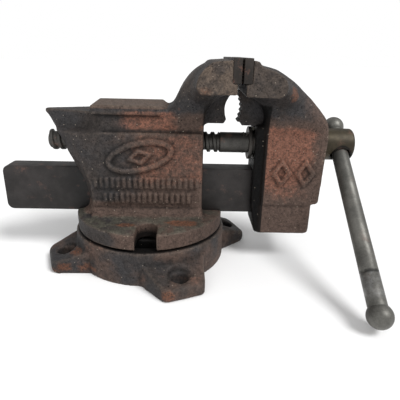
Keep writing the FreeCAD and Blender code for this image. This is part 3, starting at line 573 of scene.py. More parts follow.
class VISE_PG_stage(bpy.types.PropertyGroup):
    """Floor, light and camera."""

    floor: tint("Floor", "Colour of the floor", (0.9, 0.9, 0.9))
    world: FloatProperty(name="World light", description="Strength of the room's light", default=0.62)
    key: FloatProperty(name="Key light", description="Strength of the main light", default=2.5)
    fill: FloatProperty(name="Fill light", description="Power of the front lamp", default=1.5, unit="POWER")
    lens: FloatProperty(name="Lens", description="Focal length", default=34.84, subtype="DISTANCE_CAMERA")


class VISE_PG_settings(bpy.types.PropertyGroup):
    """All the settings of the vise."""

    casting: PointerProperty(type=VISE_PG_casting, name="Castings", description="Skin and rust")
    steel: PointerProperty(type=VISE_PG_steel, name="Steel", description="Finishes of the steel")
    stage: PointerProperty(type=VISE_PG_stage, name="Stage", description="Floor, light and camera")


# ---------------------------------------------------------------- finishes

def cast_iron(name, paint, ground_and_painted_light_at, brown_at, red_at, blooms=(), moss_at=None, painted_shade_and_oil_at=None):
    """Old bare cast iron: dark skin, brown film, red rust, ochre blooms and ground faces, with painted shade and
    painted light on it.

    The *_at functions take the tree and give shares from 0 to 1; blooms are (centre, reach) in millimetres.
    """
    tree = ShaderTree(name)
    cloud = tree.noise(26, 5.0, 0.6)
    patch = tree.noise(10, 5.0, 0.62, 0.31)
    mottle = tree.noise(3.4, 4.0, 0.65, 0.11)
    grain = tree.noise(1.5, 3.0, 0.7, 0.77).rise(0.3, 0.7)
    sand = tree.noise(0.7, 2.0, 0.6, 0.15).rise(0.35, 0.65)
    color = tree.blend(cloud.rise(0.35, 0.65), paint.cold, paint.skin)
    brown = (brown_at(tree) + (patch - 0.5) * 1.1 + (cloud - 0.5) * 0.8).rise(0.1, 0.85)
    color = tree.blend(brown, color, paint.brown)
    red = (red_at(tree) + (patch - 0.5) * 0.9 + (mottle - 0.5) * 0.7).rise(0.3, 0.95)
    color = tree.blend(red * (0.5 + 0.5 * grain), color, paint.rust)
    bloom = (tree.noise(15, 4.0, 0.55, 0.53) + (mottle - 0.5) * 0.15).rise(0.68, 0.78)
    for centre, reach in blooms:
        near = tree.nearness(centre, reach) + (patch - 0.5) * 1.2 + (mottle - 0.5) * 0.9
        bloom = bloom.most(near.rise(0.15, 0.6))
    color = tree.blend(bloom * (0.35 + 0.5 * grain), color, paint.ochre)
    if moss_at:
        mossy = moss_at(tree) * patch.rise(0.38, 0.56) * (1 - bloom)
        color = tree.blend(mossy * 0.8, color, paint.moss)
    # Ground faces in the ground colour, which on the body also carries painted light on the fixed jaw's arch.
    ground = ground_and_painted_light_at(tree) * (0.4 + 0.6 * (patch + (mottle - 0.5) * 0.6).rise(0.32, 0.56))
    color = tree.blend(ground, color, paint.ground)
    edge = tree.mark("edge")
    hollow = tree.mark("hollow")
    color = tree.blend(edge.rise(0.3, 1.0) * 0.4 * (0.4 + 0.6 * grain), color, paint.ground)
    pits = tree.dots(2.1, 0.62, 0.55) * tree.noise(8, 2.0, 0.5, 0.9).rise(0.4, 0.6)
    tone = 0.32 + 0.5 * grain + 0.5 * mottle.rise(0.3, 0.7) + 0.45 * sand
    # Hollows are darkened as painted shade in creases, and pits are darkened too.
    tone = tone * (1 - hollow * 0.7) * (1 - pits * 0.7)
    # Painted shade: darker in gaps, under overhangs and on faces turned from the light, where the mask says.
    if painted_shade_and_oil_at:
        tone = tone * (1 - 0.92 * (painted_shade_and_oil_at(tree) + (patch - 0.5) * 0.25).rise(0.08, 0.92))
    color = tree.shade(color, tone)
    color = tree.blend(tree.dots(3.0, 0.42, 0.35) * 0.65, color, paint.sparkle)
    rough = 0.62 - 0.08 * ground + 0.12 * brown - 0.08 * edge + 0.14 * (grain - 0.5)
    metal = (0.12 + 0.1 * ground - 0.1 * brown).most(0.02)
    height = 0.5 * grain + 0.3 * sand + 0.35 * mottle - pits
    return tree.finish(color, rough, metal, tree.bump(height, 0.26, 1.0), 0.2)


def steel(name, paint, color, roughness, metallic, rust, scratch=None, tint_at=None, painted_shade_and_oil_at=None):
    """Worn steel: soft clouds, fine scratches, and rust in thin patches.

    scratch stretches the scratches by axis, tint_at is a second colour and where it shows, and the last argument
    gives where the steel is darkened: painted shade, and on the handle also a band of old oil.
    """
    tree = ShaderTree(name)
    cloud = tree.noise(14, 4.0, 0.6, 0.2)
    fine = tree.noise(0.9, 3.0, 0.6, 0.6)
    drawn = tree.stretched(*scratch) if scratch else None
    lines = tree.noise(1.1, 3.0, 0.6, 0.4, drawn)
    worn = cloud.rise(0.35, 0.7)
    rusty = (tree.noise(9, 6.0, 0.65, 0.85) + 0.12 * fine).rise(0.62, 0.76) * rust * 4
    shade = tuple(color)
    if tint_at:
        shade = tree.blend(tint_at[1](tree), shade, tuple(tint_at[0]))
    tone = 0.62 + 0.5 * worn + 0.4 * (lines - 0.5) + 0.6 * (fine - 0.5)
    # Painted shade, and on the handle also an oil band, darken the steel where the mask says.
    if painted_shade_and_oil_at:
        tone = tone * (1 - 0.85 * (painted_shade_and_oil_at(tree) + (cloud - 0.5) * 0.3).rise(0.05, 0.95))
    shade = tree.shade(shade, tone)
    shade = tree.blend(rusty.least(1.0) * 0.8, shade, paint.rust)
    rough = roughness + 0.12 * (1 - worn) + 0.16 * (lines - 0.5) + 0.25 * rusty.least(1.0)
    metal = metallic - 0.6 * rusty.least(1.0)
    return tree.finish(shade, rough, metal, tree.bump(lines + 0.5 * fine, 0.03, 0.6))


def dressed(material, *nodes):
    """Give CAD nodes that keep their own mesh a better material."""
    for name in nodes:
        for place in frame["nodes"][name].material_slots:
            place.link = "OBJECT"
            place.material = material


# ---------------------------------------------------------------- shapes of this vise

def spot(node):
    """Lowest and highest corner of a CAD node, in millimetres."""
    low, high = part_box(node)
    return low / MM, high / MM


SCREW_HEIGHT = joint("screw_turn")["pos_m"][2] / MM
BAR_LINE = Vector(joint("bar_slide")["axis"])
PITCH = frame["record"]["behaviour"]["couplings"][0]["ratio"] * 2 * math.pi / MM
BAR_PLACE = (spot("tommy_bar")[0].x + spot("tommy_bar")[1].x) / 2
BAR_MIDDLE = (BAR_PLACE, 0, SCREW_HEIGHT)
BAR_LEAN = BAR_LINE.to_track_quat("Z", "Y").to_matrix().to_4x4()


def raised_ring(centre, half, stroke, corners, tilt, near, far):
    """Ring-shaped relief on a side face: four corners give a lozenge, and many an oval."""
    points = []
    for depth in (near, far):
        for grow in (stroke / 2, -stroke / 2):
            for step in range(corners):
                angle = 2 * math.pi * step / corners
                across = (half[0] + grow) * math.cos(angle)
                up = (half[1] + grow) * math.sin(angle)
                lean = math.radians(tilt)
                points.append((centre[0] + across * math.cos(lean) - up * math.sin(lean), depth,
                               centre[1] + across * math.sin(lean) + up * math.cos(lean)))
    faces = []
    for step in range(corners):
        after = (step + 1) % corners
        loops = [ring * corners + step for ring in range(4)]
        nexts = [ring * corners + after for ring in range(4)]
        for first, second in ((0, 1), (1, 3), (3, 2), (2, 0)):
            faces.append((loops[first], nexts[first], nexts[second], loops[second]))
    return solid(points, faces)


def tube(points, radius, name, material, sides=16):
    """Round wire along a path of points in millimetres."""
    path = bpy.data.meshes.new(name)
    links = [(i, i + 1) for i in range(len(points) - 1)]
    path.from_pydata([Vector(point) * MM for point in points], links, [])
    tree = ShapeTree(f"{name}_wire", {"Radius": radius * MM, "Sides": sides})
    line = tree.node("GeometryNodeMeshToCurve", {}, {0: tree.input("Geometry")})
    section = tree.node("GeometryNodeCurvePrimitiveCircle", {},
                        {"Resolution": tree.input("Sides"), "Radius": tree.input("Radius")})
    wire = tree.node("GeometryNodeCurveToMesh", {},
                     {"Curve": line, "Profile Curve": section, "Fill Caps": True})
    tree.end(wire, material)
    return tidied(tree.grow(placed(path)))


def cut(mesh, cutter, operation="DIFFERENCE"):
    """Mesh after a boolean with another one, which is used up."""
    tool = placed(cutter, "cutter")
    made = modified(mesh, "BOOLEAN", operation=operation, object=tool, solver="EXACT")
    bpy.data.objects.remove(tool)
    return made


def thread_rod(start, end, radius, pitch, depth, material):
    """Round rod along X with a right-hand thread, from a cylinder whose rings are pressed in by angle."""
    sides, rings_per_pitch = 72, 22
    rings = int((end - start) / pitch * rings_per_pitch)
    tree = ShapeTree("screw_thread", {
        "Start": start * MM, "Length": (end - start) * MM, "Radius": radius * MM,
        "Pitch": pitch * MM, "Depth": depth * MM, "Rings": rings, "Sides": sides,
    })
    rod = tree.node("GeometryNodeMeshCylinder", {}, {
        "Vertices": tree.input("Sides"), "Side Segments": tree.input("Rings"),
        "Radius": tree.input("Radius"), "Depth": tree.input("Length"),
    })
    place = tree.node("GeometryNodeInputPosition")
    across, deep, up = tree.parts(place)
    along = up + tree.input("Length") * 0.5
    angle = tree.node("ShaderNodeMath", {"operation": "ARCTAN2"}, {0: deep, 1: across})
    turns = along / tree.input("Pitch") - angle / (2 * math.pi)
    phase = tree.node("ShaderNodeMath", {"operation": "FRACT"}, {0: turns})
    # Shares of a pitch: where the groove's two flanks start and end.
    groove = phase.rise(0.2, 0.36) * phase.rise(0.86, 0.7)
    rear = along.rise(1.2 * MM, 0.0)
    shrink = 1 - groove * tree.input("Depth") / tree.input("Radius") - rear * 0.12
    built = tree.node("ShaderNodeCombineXYZ", {},
                      {0: along + tree.input("Start"), 1: across * shrink, 2: deep * shrink})
    shaped = tree.node("GeometryNodeSetPosition", {}, {"Geometry": rod, "Position": built})
    tree.end(shaped, material)
    return tree.grow(placed(bpy.data.meshes.new("rod")))


def knurled_face(face, towards, low, high, holes, settings, material):
    """Rows of small four-sided grips on a jaw plate's face, clear of its screw holes."""
    pitch = settings.knurl_pitch
    wide = high[1] - low[1] - 1.6 * pitch
    tall = high[2] - low[2] - 1.6 * pitch
    tree = ShapeTree("knurl", {
        "Wide": wide * MM, "Tall": tall * MM, "Pitch": pitch * MM, "Height": settings.knurl_height * MM,
        "Columns": int(wide / pitch) + 1, "Rows": int(tall / pitch) + 1, "Hole": holes[1] * MM,
    })
    grid = tree.node("GeometryNodeMeshGrid", {}, {
        "Size X": tree.input("Tall"), "Size Y": tree.input("Wide"),
        "Vertices X": tree.input("Rows"), "Vertices Y": tree.input("Columns"),
    })
    place = tree.node("GeometryNodeInputPosition")
    up, across, _ = tree.parts(place)
    off = abs(across) - holes[0] * MM
    reach = tree.node("ShaderNodeMath", {"operation": "SQRT"}, {0: off * off + up * up})
    near = tree.node("ShaderNodeMath", {"operation": "LESS_THAN"}, {0: reach, 1: tree.input("Hole")})
    kept = tree.node("GeometryNodeDeleteGeometry", {"domain": "POINT"}, {"Geometry": grid, "Selection": near})
    grip = tree.node("GeometryNodeMeshCone", {}, {
        "Vertices": 4, "Radius Top": 0.12 * MM, "Radius Bottom": tree.input("Pitch") * 0.66,
        "Depth": tree.input("Height"),
    })
    grips = tree.node("GeometryNodeInstanceOnPoints", {}, {"Points": kept, "Instance": grip})
    tree.end(grips, material)
    mesh = tree.grow(placed(bpy.data.meshes.new("grips")))
    turn = Matrix.Rotation(math.radians(90 * towards), 4, "Y")
    return moved(mesh, at(face, (low[1] + high[1]) / 2, (low[2] + high[2]) / 2) @ turn)


def hex_nut(across, height, bore):
    """Hexagonal nut about Z with its corners turned off and its thread opened."""
    reach = across / 2 / math.cos(math.radians(30))
    corners = [(reach * math.cos(math.radians(60 * i + 30)), reach * math.sin(math.radians(60 * i + 30)))
               for i in range(6)]
    prism = moved(extruded(corners, height / 2, flat=True), at(0, 0, height / 2))
    chamfer = 0.9
    envelope = turned([(0, 0), (across / 2, 0), (reach, chamfer), (reach, height - chamfer),
                       (across / 2, height), (0, height)])
    nut = cut(prism, envelope, "INTERSECT")
    hole = turned([(0, -1), (bore + 0.8, -1), (bore + 0.8, 0), (bore, 0.8), (bore, height - 0.8),
                   (bore + 0.8, height), (bore + 0.8, height + 1), (0, height + 1)])
    return cut(nut, hole)


def washer(inner, outer, thick):
    return bevelled(ring_of([(inner, 0), (outer, 0), (outer, thick), (inner, thick)]), 0.3, 2)


# ---------------------------------------------------------------- operators

class PieceOperator:
    """What the operators share: the settings of the scene."""

    bl_options = {"REGISTER", "UNDO"}

    @property
    def settings(self):
        return bpy.context.scene.bench_vise


class VISE_OT_base_casting(PieceOperator, bpy.types.Operator):
    """Build the swivel base's skin, with its four lugs and its clamp groove"""

    bl_idname = "vise.base_casting"
    bl_label = "Swivel Base"

    def execute(self, context):
        paint = self.settings.casting
        top = spot("swivel_base")[1].z

        def softness(points):
            ring = np.hypot(points[:, 0], points[:, 1])
            roots = fade(ring, 56, 60) * fade(points[:, 2], 8, 12) * 0.12
            tips = fade(ring, 77.5, 80) * 0.5
            return np.maximum(roots, tips)

        def roughness(points):
            ring, up = np.hypot(points[:, 0], points[:, 1]), points[:, 2]
            return fade(up, 0.2, 2.5) * fade(ring, 53, 56) * fade(up, top - 1.5, top - 3.5)

        # Painted shade: in the gap under and beside the body's foot, on the left lug's flank and low on the right
        # side.
        def dark(tree):
            across, deep, up = tree.axes()
            ring = across * across + deep * deep
            under_foot = ring.rise(56 ** 2, 53 ** 2).most(up.rise(top - 2.0, top - 1.2))
            left_lug = across.rise(-50, -64) * up.rise(13, 9)
            right_side = across.rise(20, 50) * up.rise(20, 24)
            return under_foot.most((left_lug + right_side) * 0.3)

        material = cast_iron(
            "base_iron", paint,
            ground_and_painted_light_at=lambda tree: tree.axes()[2].rise(0.4, 0.1) * 0.8,
            brown_at=lambda tree: tree.noise(34, 3.0, 0.5, 1.3).rise(0.38, 0.62) * 0.6,
            red_at=lambda tree: tree.noise(30, 3.0, 0.5, 2.3).rise(0.45, 0.7) * 0.4,
            blooms=(((-60, -42, 6), (10, 9, 5)), ((-44, -46, 5), (11, 10, 8)), ((-50, -34, 14), (10, 8, 4)),
                    ((-72, -40, 2), (12, 9, 4)), ((-80, -26, 6), (5, 11, 6)), ((17, -78, 4), (7, 7, 8))),
            painted_shade_and_oil_at=dark,
        )
        skin = cast_skin("swivel_base", paint, [], softness, roughness, material)
        finished(skin, "swivel_base_casting", BASE, material, ["swivel_base"], 180)
        return {"FINISHED"}


class VISE_OT_body_casting(PieceOperator, bpy.types.Operator):
    """Build the body's skin: foot, block, horn, anvil pad and fixed jaw head, with its raised marks"""

    bl_idname = "vise.body_casting"
    bl_label = "Vise Body"

    def reliefs(self, paint):
        """Plain raised marks on the near side: an oval with a lozenge in it, over two reeded bands."""
        face = -22.0
        near, far = face - paint.relief, face + 0.8
        centre, tilt = (-5, 84), 14
        oval = raised_ring(centre, (23, 9.5), 3.4, 48, tilt, near, far)
        gem = raised_ring(centre, (8, 4.2), 2.8, 4, tilt, near, far)
        marks = [oval, gem]
        step = 4.1
        for low, high, first, last in ((60.5, 68.0, -37.5, 36.5), (48.6, 56.4, -31.0, 34.5)):
            rib = bevelled(block((-1.05, near + 0.4, low), (1.05, far, high)), 0.4, 2)
            count = int((last - first) / step) + 1
            marks.append(copies_in_line(rib, f"reeding_{int(low)}", count, (first, 0, 0), (step, 0, 0), None))
        return marks

    def execute(self, context):
        paint = self.settings.casting
        seat = spot("fixed_jaw_plate")[0].x
        jaw_end = spot("fixed_jaw_plate")[1].y

        def softness(points):
            across, side, up = points[:, 0], np.abs(points[:, 1]), points[:, 2]
            web = fade(up, 106, 114) * fade(side, jaw_end - 0.6, jaw_end - 5) * fade(across, 9, 16)
            web *= fade(across, seat - 1, seat - 6)
            cove = fade(up, 45, 43) * fade(up, 38, 40)
            flank = fade(up, 112, 108) * fade(up, 84, 92) * fade(side, 24, 20) * fade(across, -30, -38)
            return np.clip(np.maximum.reduce([web, cove * 0.4, flank * 0.6]), 0, 1)

        def roughness(points):
            across, side, up = points[:, 0], np.abs(points[:, 1]), points[:, 2]
            plain = fade(side, 8.4, 10) + (up > 76) * 1.0
            seats = np.maximum(fade(across, seat - 0.5, seat - 2), fade(up, 136.5, 134))
            ends = np.maximum(fade(side, jaw_end, jaw_end - 1), 0.25)
            top = np.where(up > 118.5, np.where(across < 15, 0.2, 1.0), 1.0)
            return np.clip(plain, 0, 1) * seats * ends * top * fade(up, 27, 28)

        # Ground faces, and painted light on the upper faces of the fixed jaw's arch.
        def ground(tree):
            across, deep, up = tree.axes()
            pad = up.rise(118.0, 119.2) * across.rise(16, 14)
            ends = abs(deep).rise(43.6, 44.1) * up.rise(100, 110)
            tip = up.rise(148.5, 150.5)
            # Painted light: the arch's upper faces are lightened as if lit from above.
            arc = up.rise(120, 138) * across.rise(36, 26) * 0.5
            return (pad * 0.6).most(ends).most(tip * 0.6).most(arc)

        def brown(tree):
            across, _, up = tree.axes()
            panel = across.rise(-34, 12) * up.rise(122, 108)
            neck = up.rise(38.8, 39.8) * up.rise(53, 46) * across.rise(45, 30)
            rim = up.rise(38.4, 38.0) * abs(across - 2).rise(32, 14) * 1.1
            pad = up.rise(117.2, 118.0) * across.rise(16, 14) * across.rise(-50, -30)
            return panel.most(neck).most(rim).most(pad)

        def red(tree):
            across, _, up = tree.axes()
            panel = across.rise(-26, 2) * up.rise(56, 70) * up.rise(108, 94) * 0.62
            flank = across.rise(-30, -8) * across.rise(30, 16) * up.rise(100, 105) * up.rise(119, 114)
            return panel.most(flank * 0.78)

        # Painted shade: under the foot, under the fixed jaw's head, on its inner face towards the throat, and on
        # the right part of the foot.
        def dark(tree):
            across, deep, up = tree.axes()
            ring = across * across + deep * deep
            notch = ring.rise(56.2 ** 2, 55 ** 2) * up.rise(37, 29)
            web = up.rise(100, 112) * across.rise(28, 40) * abs(deep).rise(43.5, 42.5)
            inner = across.rise(39.5, 40.5) * up.rise(44, 47) * up.rise(126, 120)
            foot = up.rise(41.0, 39.5) * across.rise(16, 40)
            return notch.most(web * 0.38).most(inner * 0.68).most(foot * 0.36)

        def moss(tree):
            up = tree.axes()[2]
            return up.rise(37.5, 38.4) * up.rise(40.5, 39.2)

        material = cast_iron(
            "body_iron", paint, ground, brown, red,
            blooms=(((26, -36, 39), (16, 8, 5)), ((-14, -40, 39), (11, 5, 5)), ((40, -44, 132), (8, 4, 5))),
            moss_at=moss, painted_shade_and_oil_at=dark,
        )
        skin = cast_skin("vise_body", paint, self.reliefs(paint), softness, roughness, material)
        finished(skin, "vise_body_casting", BODY, material, ["vise_body"], 180)
        return {"FINISHED"}


class VISE_OT_jaw_casting(PieceOperator, bpy.types.Operator):
    """Build the moving jaw's skin, with its raised lozenges"""

    bl_idname = "vise.jaw_casting"
    bl_label = "Moving Jaw"

    def execute(self, context):
        paint = self.settings.casting
        low, high = spot("moving_jaw")
        seat = spot("moving_jaw_plate")[1].x
        jaw_end = high.y
        face = -20.0
        marks = [raised_ring((place, 73), (5.6, 8.6), 3.3, 4, 0, face - paint.relief, face + 1.5)
                 for place in (98.5, 116.0)]

        def softness(points):
            across, side, up = points[:, 0], np.abs(points[:, 1]), points[:, 2]
            web = fade(up, 100, 112) * fade(side, jaw_end - 0.6, jaw_end - 5)
            return web * fade(across, seat + 2, seat + 7)

        def roughness(points):
            across, side, up = points[:, 0], np.abs(points[:, 1]), points[:, 2]
            seats = np.maximum(fade(across, seat + 0.5, seat + 2), fade(up, 136.5, 134))
            ends = np.maximum(fade(side, jaw_end, jaw_end - 1), 0.25)
            inside = np.maximum(fade(side, 8.4, 10), (up > 76) * 1.0)
            return seats * ends * inside * fade(across, low.x, low.x + 2)

        def ground(tree):
            _, deep, up = tree.axes()
            ends = abs(deep).rise(43.6, 44.1)
            tip = up.rise(148.5, 150.5)
            return ends.most(tip * 0.6) * 0.5

        def brown(tree):
            across, deep, up = tree.axes()
            outside = abs(deep).rise(17.0, 18.5)
            rim = across.rise(100, 122) * 0.8
            return up.rise(122, 103).most(rim) * (0.15 + 0.85 * outside)

        def red(tree):
            across, _, up = tree.axes()
            return up.rise(30, 88) * up.rise(113, 100) * across.rise(134, 104) * across.rise(84, 88) * 1.3

        # Painted shade: on the moving jaw's inner face towards the throat, under its head, and on its cheeks.
        def dark(tree):
            across, deep, up = tree.axes()
            inside = across.rise(87.5, 86.0) * up.rise(124, 120)
            web = up.rise(104, 115) * abs(deep).rise(43.5, 42.5) * across.rise(112, 90)
            cheek = up.rise(115, 120) * abs(deep).rise(43.4, 44.0)
            return inside.most(web * 0.33).most(cheek * 0.3)

        material = cast_iron("jaw_iron", paint, ground, brown, red,
                             blooms=(((99, -30, 131), (6, 12, 7)),), painted_shade_and_oil_at=dark)
        skin = cast_skin("moving_jaw", paint, marks, softness, roughness, material)
        finished(skin, "moving_jaw_casting", SLIDE, material, ["moving_jaw"], 180)
        return {"FINISHED"}


class VISE_OT_guide_bar(PieceOperator, bpy.types.Operator):
    """Build the flat guide bar"""

    bl_idname = "vise.guide_bar"
    bl_label = "Guide Bar"

    def execute(self, context):
        tones = self.settings.steel
        low, high = spot("slide_bar")
        corner = 5.0
        outline = [(high.x, low.z), (high.x, high.z)]
        outline += rounded_corner((low.x + corner, high.z - corner), corner, 90, 180)
        outline += rounded_corner((low.x + corner, low.z + corner), corner, 180, 270)
        bar = bevelled(extruded(outline, high.y), 0.9, 3, 40)

        # Painted shade on the guide bar: darker near the body and where it enters the moving jaw.
        def oiled(tree):
            across = tree.axes()[0]
            behind = across.rise(-78, -46) * across.rise(0, -30)
            return behind.most(across.rise(73, 83)) * 0.8

        material = steel("guide_steel", self.settings.casting, tones.guide, 0.5, 0.3, 0.08,
                         scratch=(0.12, 1.0, 1.0), painted_shade_and_oil_at=oiled)
        finished(bar, "guide_bar", SLIDE, material, ["slide_bar"])
        return {"FINISHED"}


class VISE_OT_lead_screw(PieceOperator, bpy.types.Operator):
    """Build the lead screw: its thread, its plain journal and its cross-bored head"""

    bl_idname = "vise.lead_screw"
    bl_label = "Lead Screw"

    def execute(self, context):
        tones = self.settings.steel
        low, high = spot("lead_screw")
        radius, thread_end, head_start = 7.7, 52.8, 131.0
        head = (high.y - low.y) / 2
        bore, mouth, deep = 6.45, 8.8, head - 2.4
        # The cross bore and its mouth are darkened as painted shade.
        material = steel(
            "screw_steel", self.settings.casting, tones.screw, 0.42, 0.6, 0.1,
            tint_at=(tones.head, lambda tree: tree.axes()[0].rise(head_start - 1.5, head_start)),
            painted_shade_and_oil_at=lambda tree: tree.off_line(BAR_MIDDLE, BAR_LINE).rise(mouth + 0.1, mouth - 0.7),
        )
        rod = thread_rod(low.x, thread_end, radius, PITCH, 1.6, material)
        rod = moved(rod, at(0, 0, SCREW_HEIGHT))
        profile = [(0, thread_end), (radius - 0.9, thread_end), (radius, thread_end + 0.9),
                   (radius, head_start), (head - 0.5, head_start), (head, head_start + 0.5)]
        profile += [(point[1], point[0]) for point in rounded_corner((high.x - 2.4, head - 2.4), 2.4, 90, 20)]
        profile += [(head * 0.55, high.x - 0.05), (0, high.x)]
        shank = moved(turned(profile), ALONG_X)
        past = 20
        flare = mouth + past - head
        gauge = [(0, -past), (flare, -past), (bore, -deep), (bore, deep), (flare, past), (0, past)]
        shank = cut(shank, moved(turned(gauge, 64), at(BAR_PLACE, 0, 0) @ BAR_LEAN))
        shank = bevelled(shank, 0.35, 2, 40)
        screw = joined(rod, moved(shank, at(0, 0, SCREW_HEIGHT)))
        finished(screw, "lead_screw_steel", SCREW, material, ["lead_screw"])
        return {"FINISHED"}


class VISE_OT_handle(PieceOperator, bpy.types.Operator):
    """Build the sliding handle bar and its two knobs"""

    bl_idname = "vise.handle"
    bl_label = "Handle"

    def execute(self, context):
        tones = self.settings.steel
        lean = at(*BAR_MIDDLE) @ BAR_LEAN
        radius = (spot("tommy_bar")[1].x - spot("tommy_bar")[0].x) / 2
        balls = {}
        for name in ("handle_ball_upper", "handle_ball_lower"):
            low, high = spot(name)
            ball = (high.x - low.x) / 2
            height = low.z + ball if name.endswith("lower") else high.z - ball
            balls[name] = (ball, (height - SCREW_HEIGHT) / BAR_LINE.z)
        low_reach, high_reach = balls["handle_ball_lower"][1], balls["handle_ball_upper"][1]
        collar = low_reach + 26.5

        # A real oil band at the collar, and painted shade on the bar's upper part next to the screw head.
        def oiled(tree):
            down = tree.along(BAR_MIDDLE, -BAR_LINE)
            band = abs(down + collar).rise(2.2, 0.4) * tree.noise(5, 3.0, 0.6, 0.4).rise(0.35, 0.55) * 0.7
            return band.most(down.rise(62, 4) * down.rise(-14, -8) * 0.45)

        def scuffed(tree):
            down = tree.along(BAR_MIDDLE, -BAR_LINE)
            share = down.rise(-collar, 1 - collar) * down.rise(124, 118)
            return share * tree.noise(7, 4.0, 0.65, 0.5).rise(0.38, 0.6)

        material = steel("handle_steel", self.settings.casting, tones.handle, 0.42, 0.6, 0.05,
                         tint_at=(tones.scuffed, scuffed), painted_shade_and_oil_at=oiled)
        low_end, high_end = low_reach + 3, high_reach - 3
        profile = [(0, low_end), (radius, low_end), (radius, collar - 0.4), (radius - 0.2, collar),
                   (radius, collar + 0.4), (radius, high_end), (0, high_end)]
        finished(moved(turned(profile), lean), "tommy_bar_steel", HANDLE, material,
                 ["tommy_bar"])
        rings = 40
        for name, (ball, reach) in balls.items():
            profile = [(ball * math.sin(math.pi * i / rings), reach - ball * math.cos(math.pi * i / rings))
                       for i in range(rings + 1)]
            knob = moved(turned(profile), lean)
            finished(knob, f"{name}_steel", HANDLE, material, [name])
        return {"FINISHED"}


class VISE_OT_retainers(PieceOperator, bpy.types.Operator):
    """Build the thrust washer, the spring and the cotter pin behind the moving jaw"""

    bl_idname = "vise.retainers"
    bl_label = "Screw Retainers"

    def execute(self, context):
        tones = self.settings.steel
        dull = steel("retainer_steel", self.settings.casting, tones.fastener, 0.45, 0.7, 0.15)
        bare = steel("spring_steel", self.settings.casting, tones.spring, 0.35, 0.85, 0.1)
        low, high = spot("retaining_washer")
        ring = moved(washer(7.8, (high.y - low.y) / 2, high.x - low.x), at(low.x, 0, SCREW_HEIGHT) @ ALONG_X)
        finished(ring, "retaining_washer_steel", SCREW, dull, ["retaining_washer"])
        low, high = spot("retaining_spring")
        wire, turns, steps = 1.4, 2, 96
        coil = (high.z - low.z) / 2 - wire
        points = []
        for step in range(steps + 1):
            angle = 2 * math.pi * turns * step / steps
            along = low.x + wire + (high.x - low.x - 2 * wire) * step / steps
            points.append((along, coil * math.sin(angle), SCREW_HEIGHT + coil * math.cos(angle)))
        spring = tube(points, wire, "spring", bare)
        finished(spring, "retaining_spring_wire", SLIDE, bare, ["retaining_spring"])
        low, high = spot("cotter_pin")
        across = BAR_LINE.cross(Vector((1, 0, 0))).normalized()
        centre = Vector(((low.x + high.x) / 2, 0, SCREW_HEIGHT))
        bends = [math.radians(angle) for angle in range(30, 331, 30)]
        eye = [(1.6 * math.sin(bend), -10.0 + 1.6 * math.cos(bend)) for bend in bends]
        path = [(2.0, 11.2), (0.62, 8.6), (0.62, -8.2)] + eye + [(-0.62, -8.2), (-0.62, 8.6), (-2.0, 11.2)]
        legs = [centre + Vector((x, 0, 0)) - across * y for x, y in path]
        pin = tube(legs, 0.62, "cotter", bare, 12)
        finished(pin, "cotter_pin_wire", SCREW, bare, ["cotter_pin"])
        return {"FINISHED"}


class VISE_OT_jaw_plates(PieceOperator, bpy.types.Operator):
    """Build both gripping plates with their knurled faces, and their countersunk screws"""

    bl_idname = "vise.jaw_plates"
    bl_label = "Jaw Plates"

    def execute(self, context):
        tones = self.settings.steel
        plate_steel = steel("plate_steel", self.settings.casting, tones.plate, 0.5, 0.6, 0.2)
        screw_steel = steel("plate_screw_steel", self.settings.casting, tones.fastener, 0.45, 0.7, 0.15)
        knurl = tones.knurl_height
        for name, body, towards in (("fixed", BODY, 1), ("moving", SLIDE, -1)):
            low, high = spot(f"{name}_jaw_plate")
            screws_low, screws_high = spot(f"{name}_jaw_plate_screws")
            head = (screws_high.z - screws_low.z) / 2
            reach = screws_high.y - head
            height = (screws_high.z + screws_low.z) / 2
            back, face = (low.x, high.x) if towards > 0 else (high.x, low.x)
            inner = face - towards * knurl
            plate = bevelled(block((min(back, inner), low.y, low.z), (max(back, inner), high.y, high.z)), 0.5)
            shank, deep = 2.5, screws_high.x - screws_low.x - 0.3
            sink = turned([(0, -1), (head + 1.4, -1), (head + 0.2, 0.2), (shank + 0.1, 2.7), (shank + 0.1, 9),
                           (0, 9)], 48)
            screw = turned([(0, 0.6), (head - 0.4, 0.6), (head, 1.0), (shank, 3.1), (shank, deep), (0, deep)],
                           48)
            slot = block((-0.7, -head - 1, -1), (0.7, head + 1, 1.9))
            screw = cut(screw, moved(slot, Matrix.Rotation(math.radians(25), 4, "Z")))
            turn = Matrix.Rotation(math.radians(-90 * towards), 4, "Y")
            for side in (-1, 1):
                plate = cut(plate, moved(sink.copy(), at(inner, side * reach, height) @ turn))
            grips = knurled_face(inner, towards, low, high, (reach, head + 1.6), tones, plate_steel)
            finished(joined(plate, grips), f"{name}_jaw_plate_steel", body, plate_steel,
                     [f"{name}_jaw_plate"])
            pair = copies_in_line(moved(screw, turn), f"{name}_plate_screws", 2,
                                  (inner, -reach, height), (0, 2 * reach, 0), screw_steel)
            finished(pair, f"{name}_jaw_plate_screws_steel", body, screw_steel,
                     [f"{name}_jaw_plate_screws"])
        return {"FINISHED"}


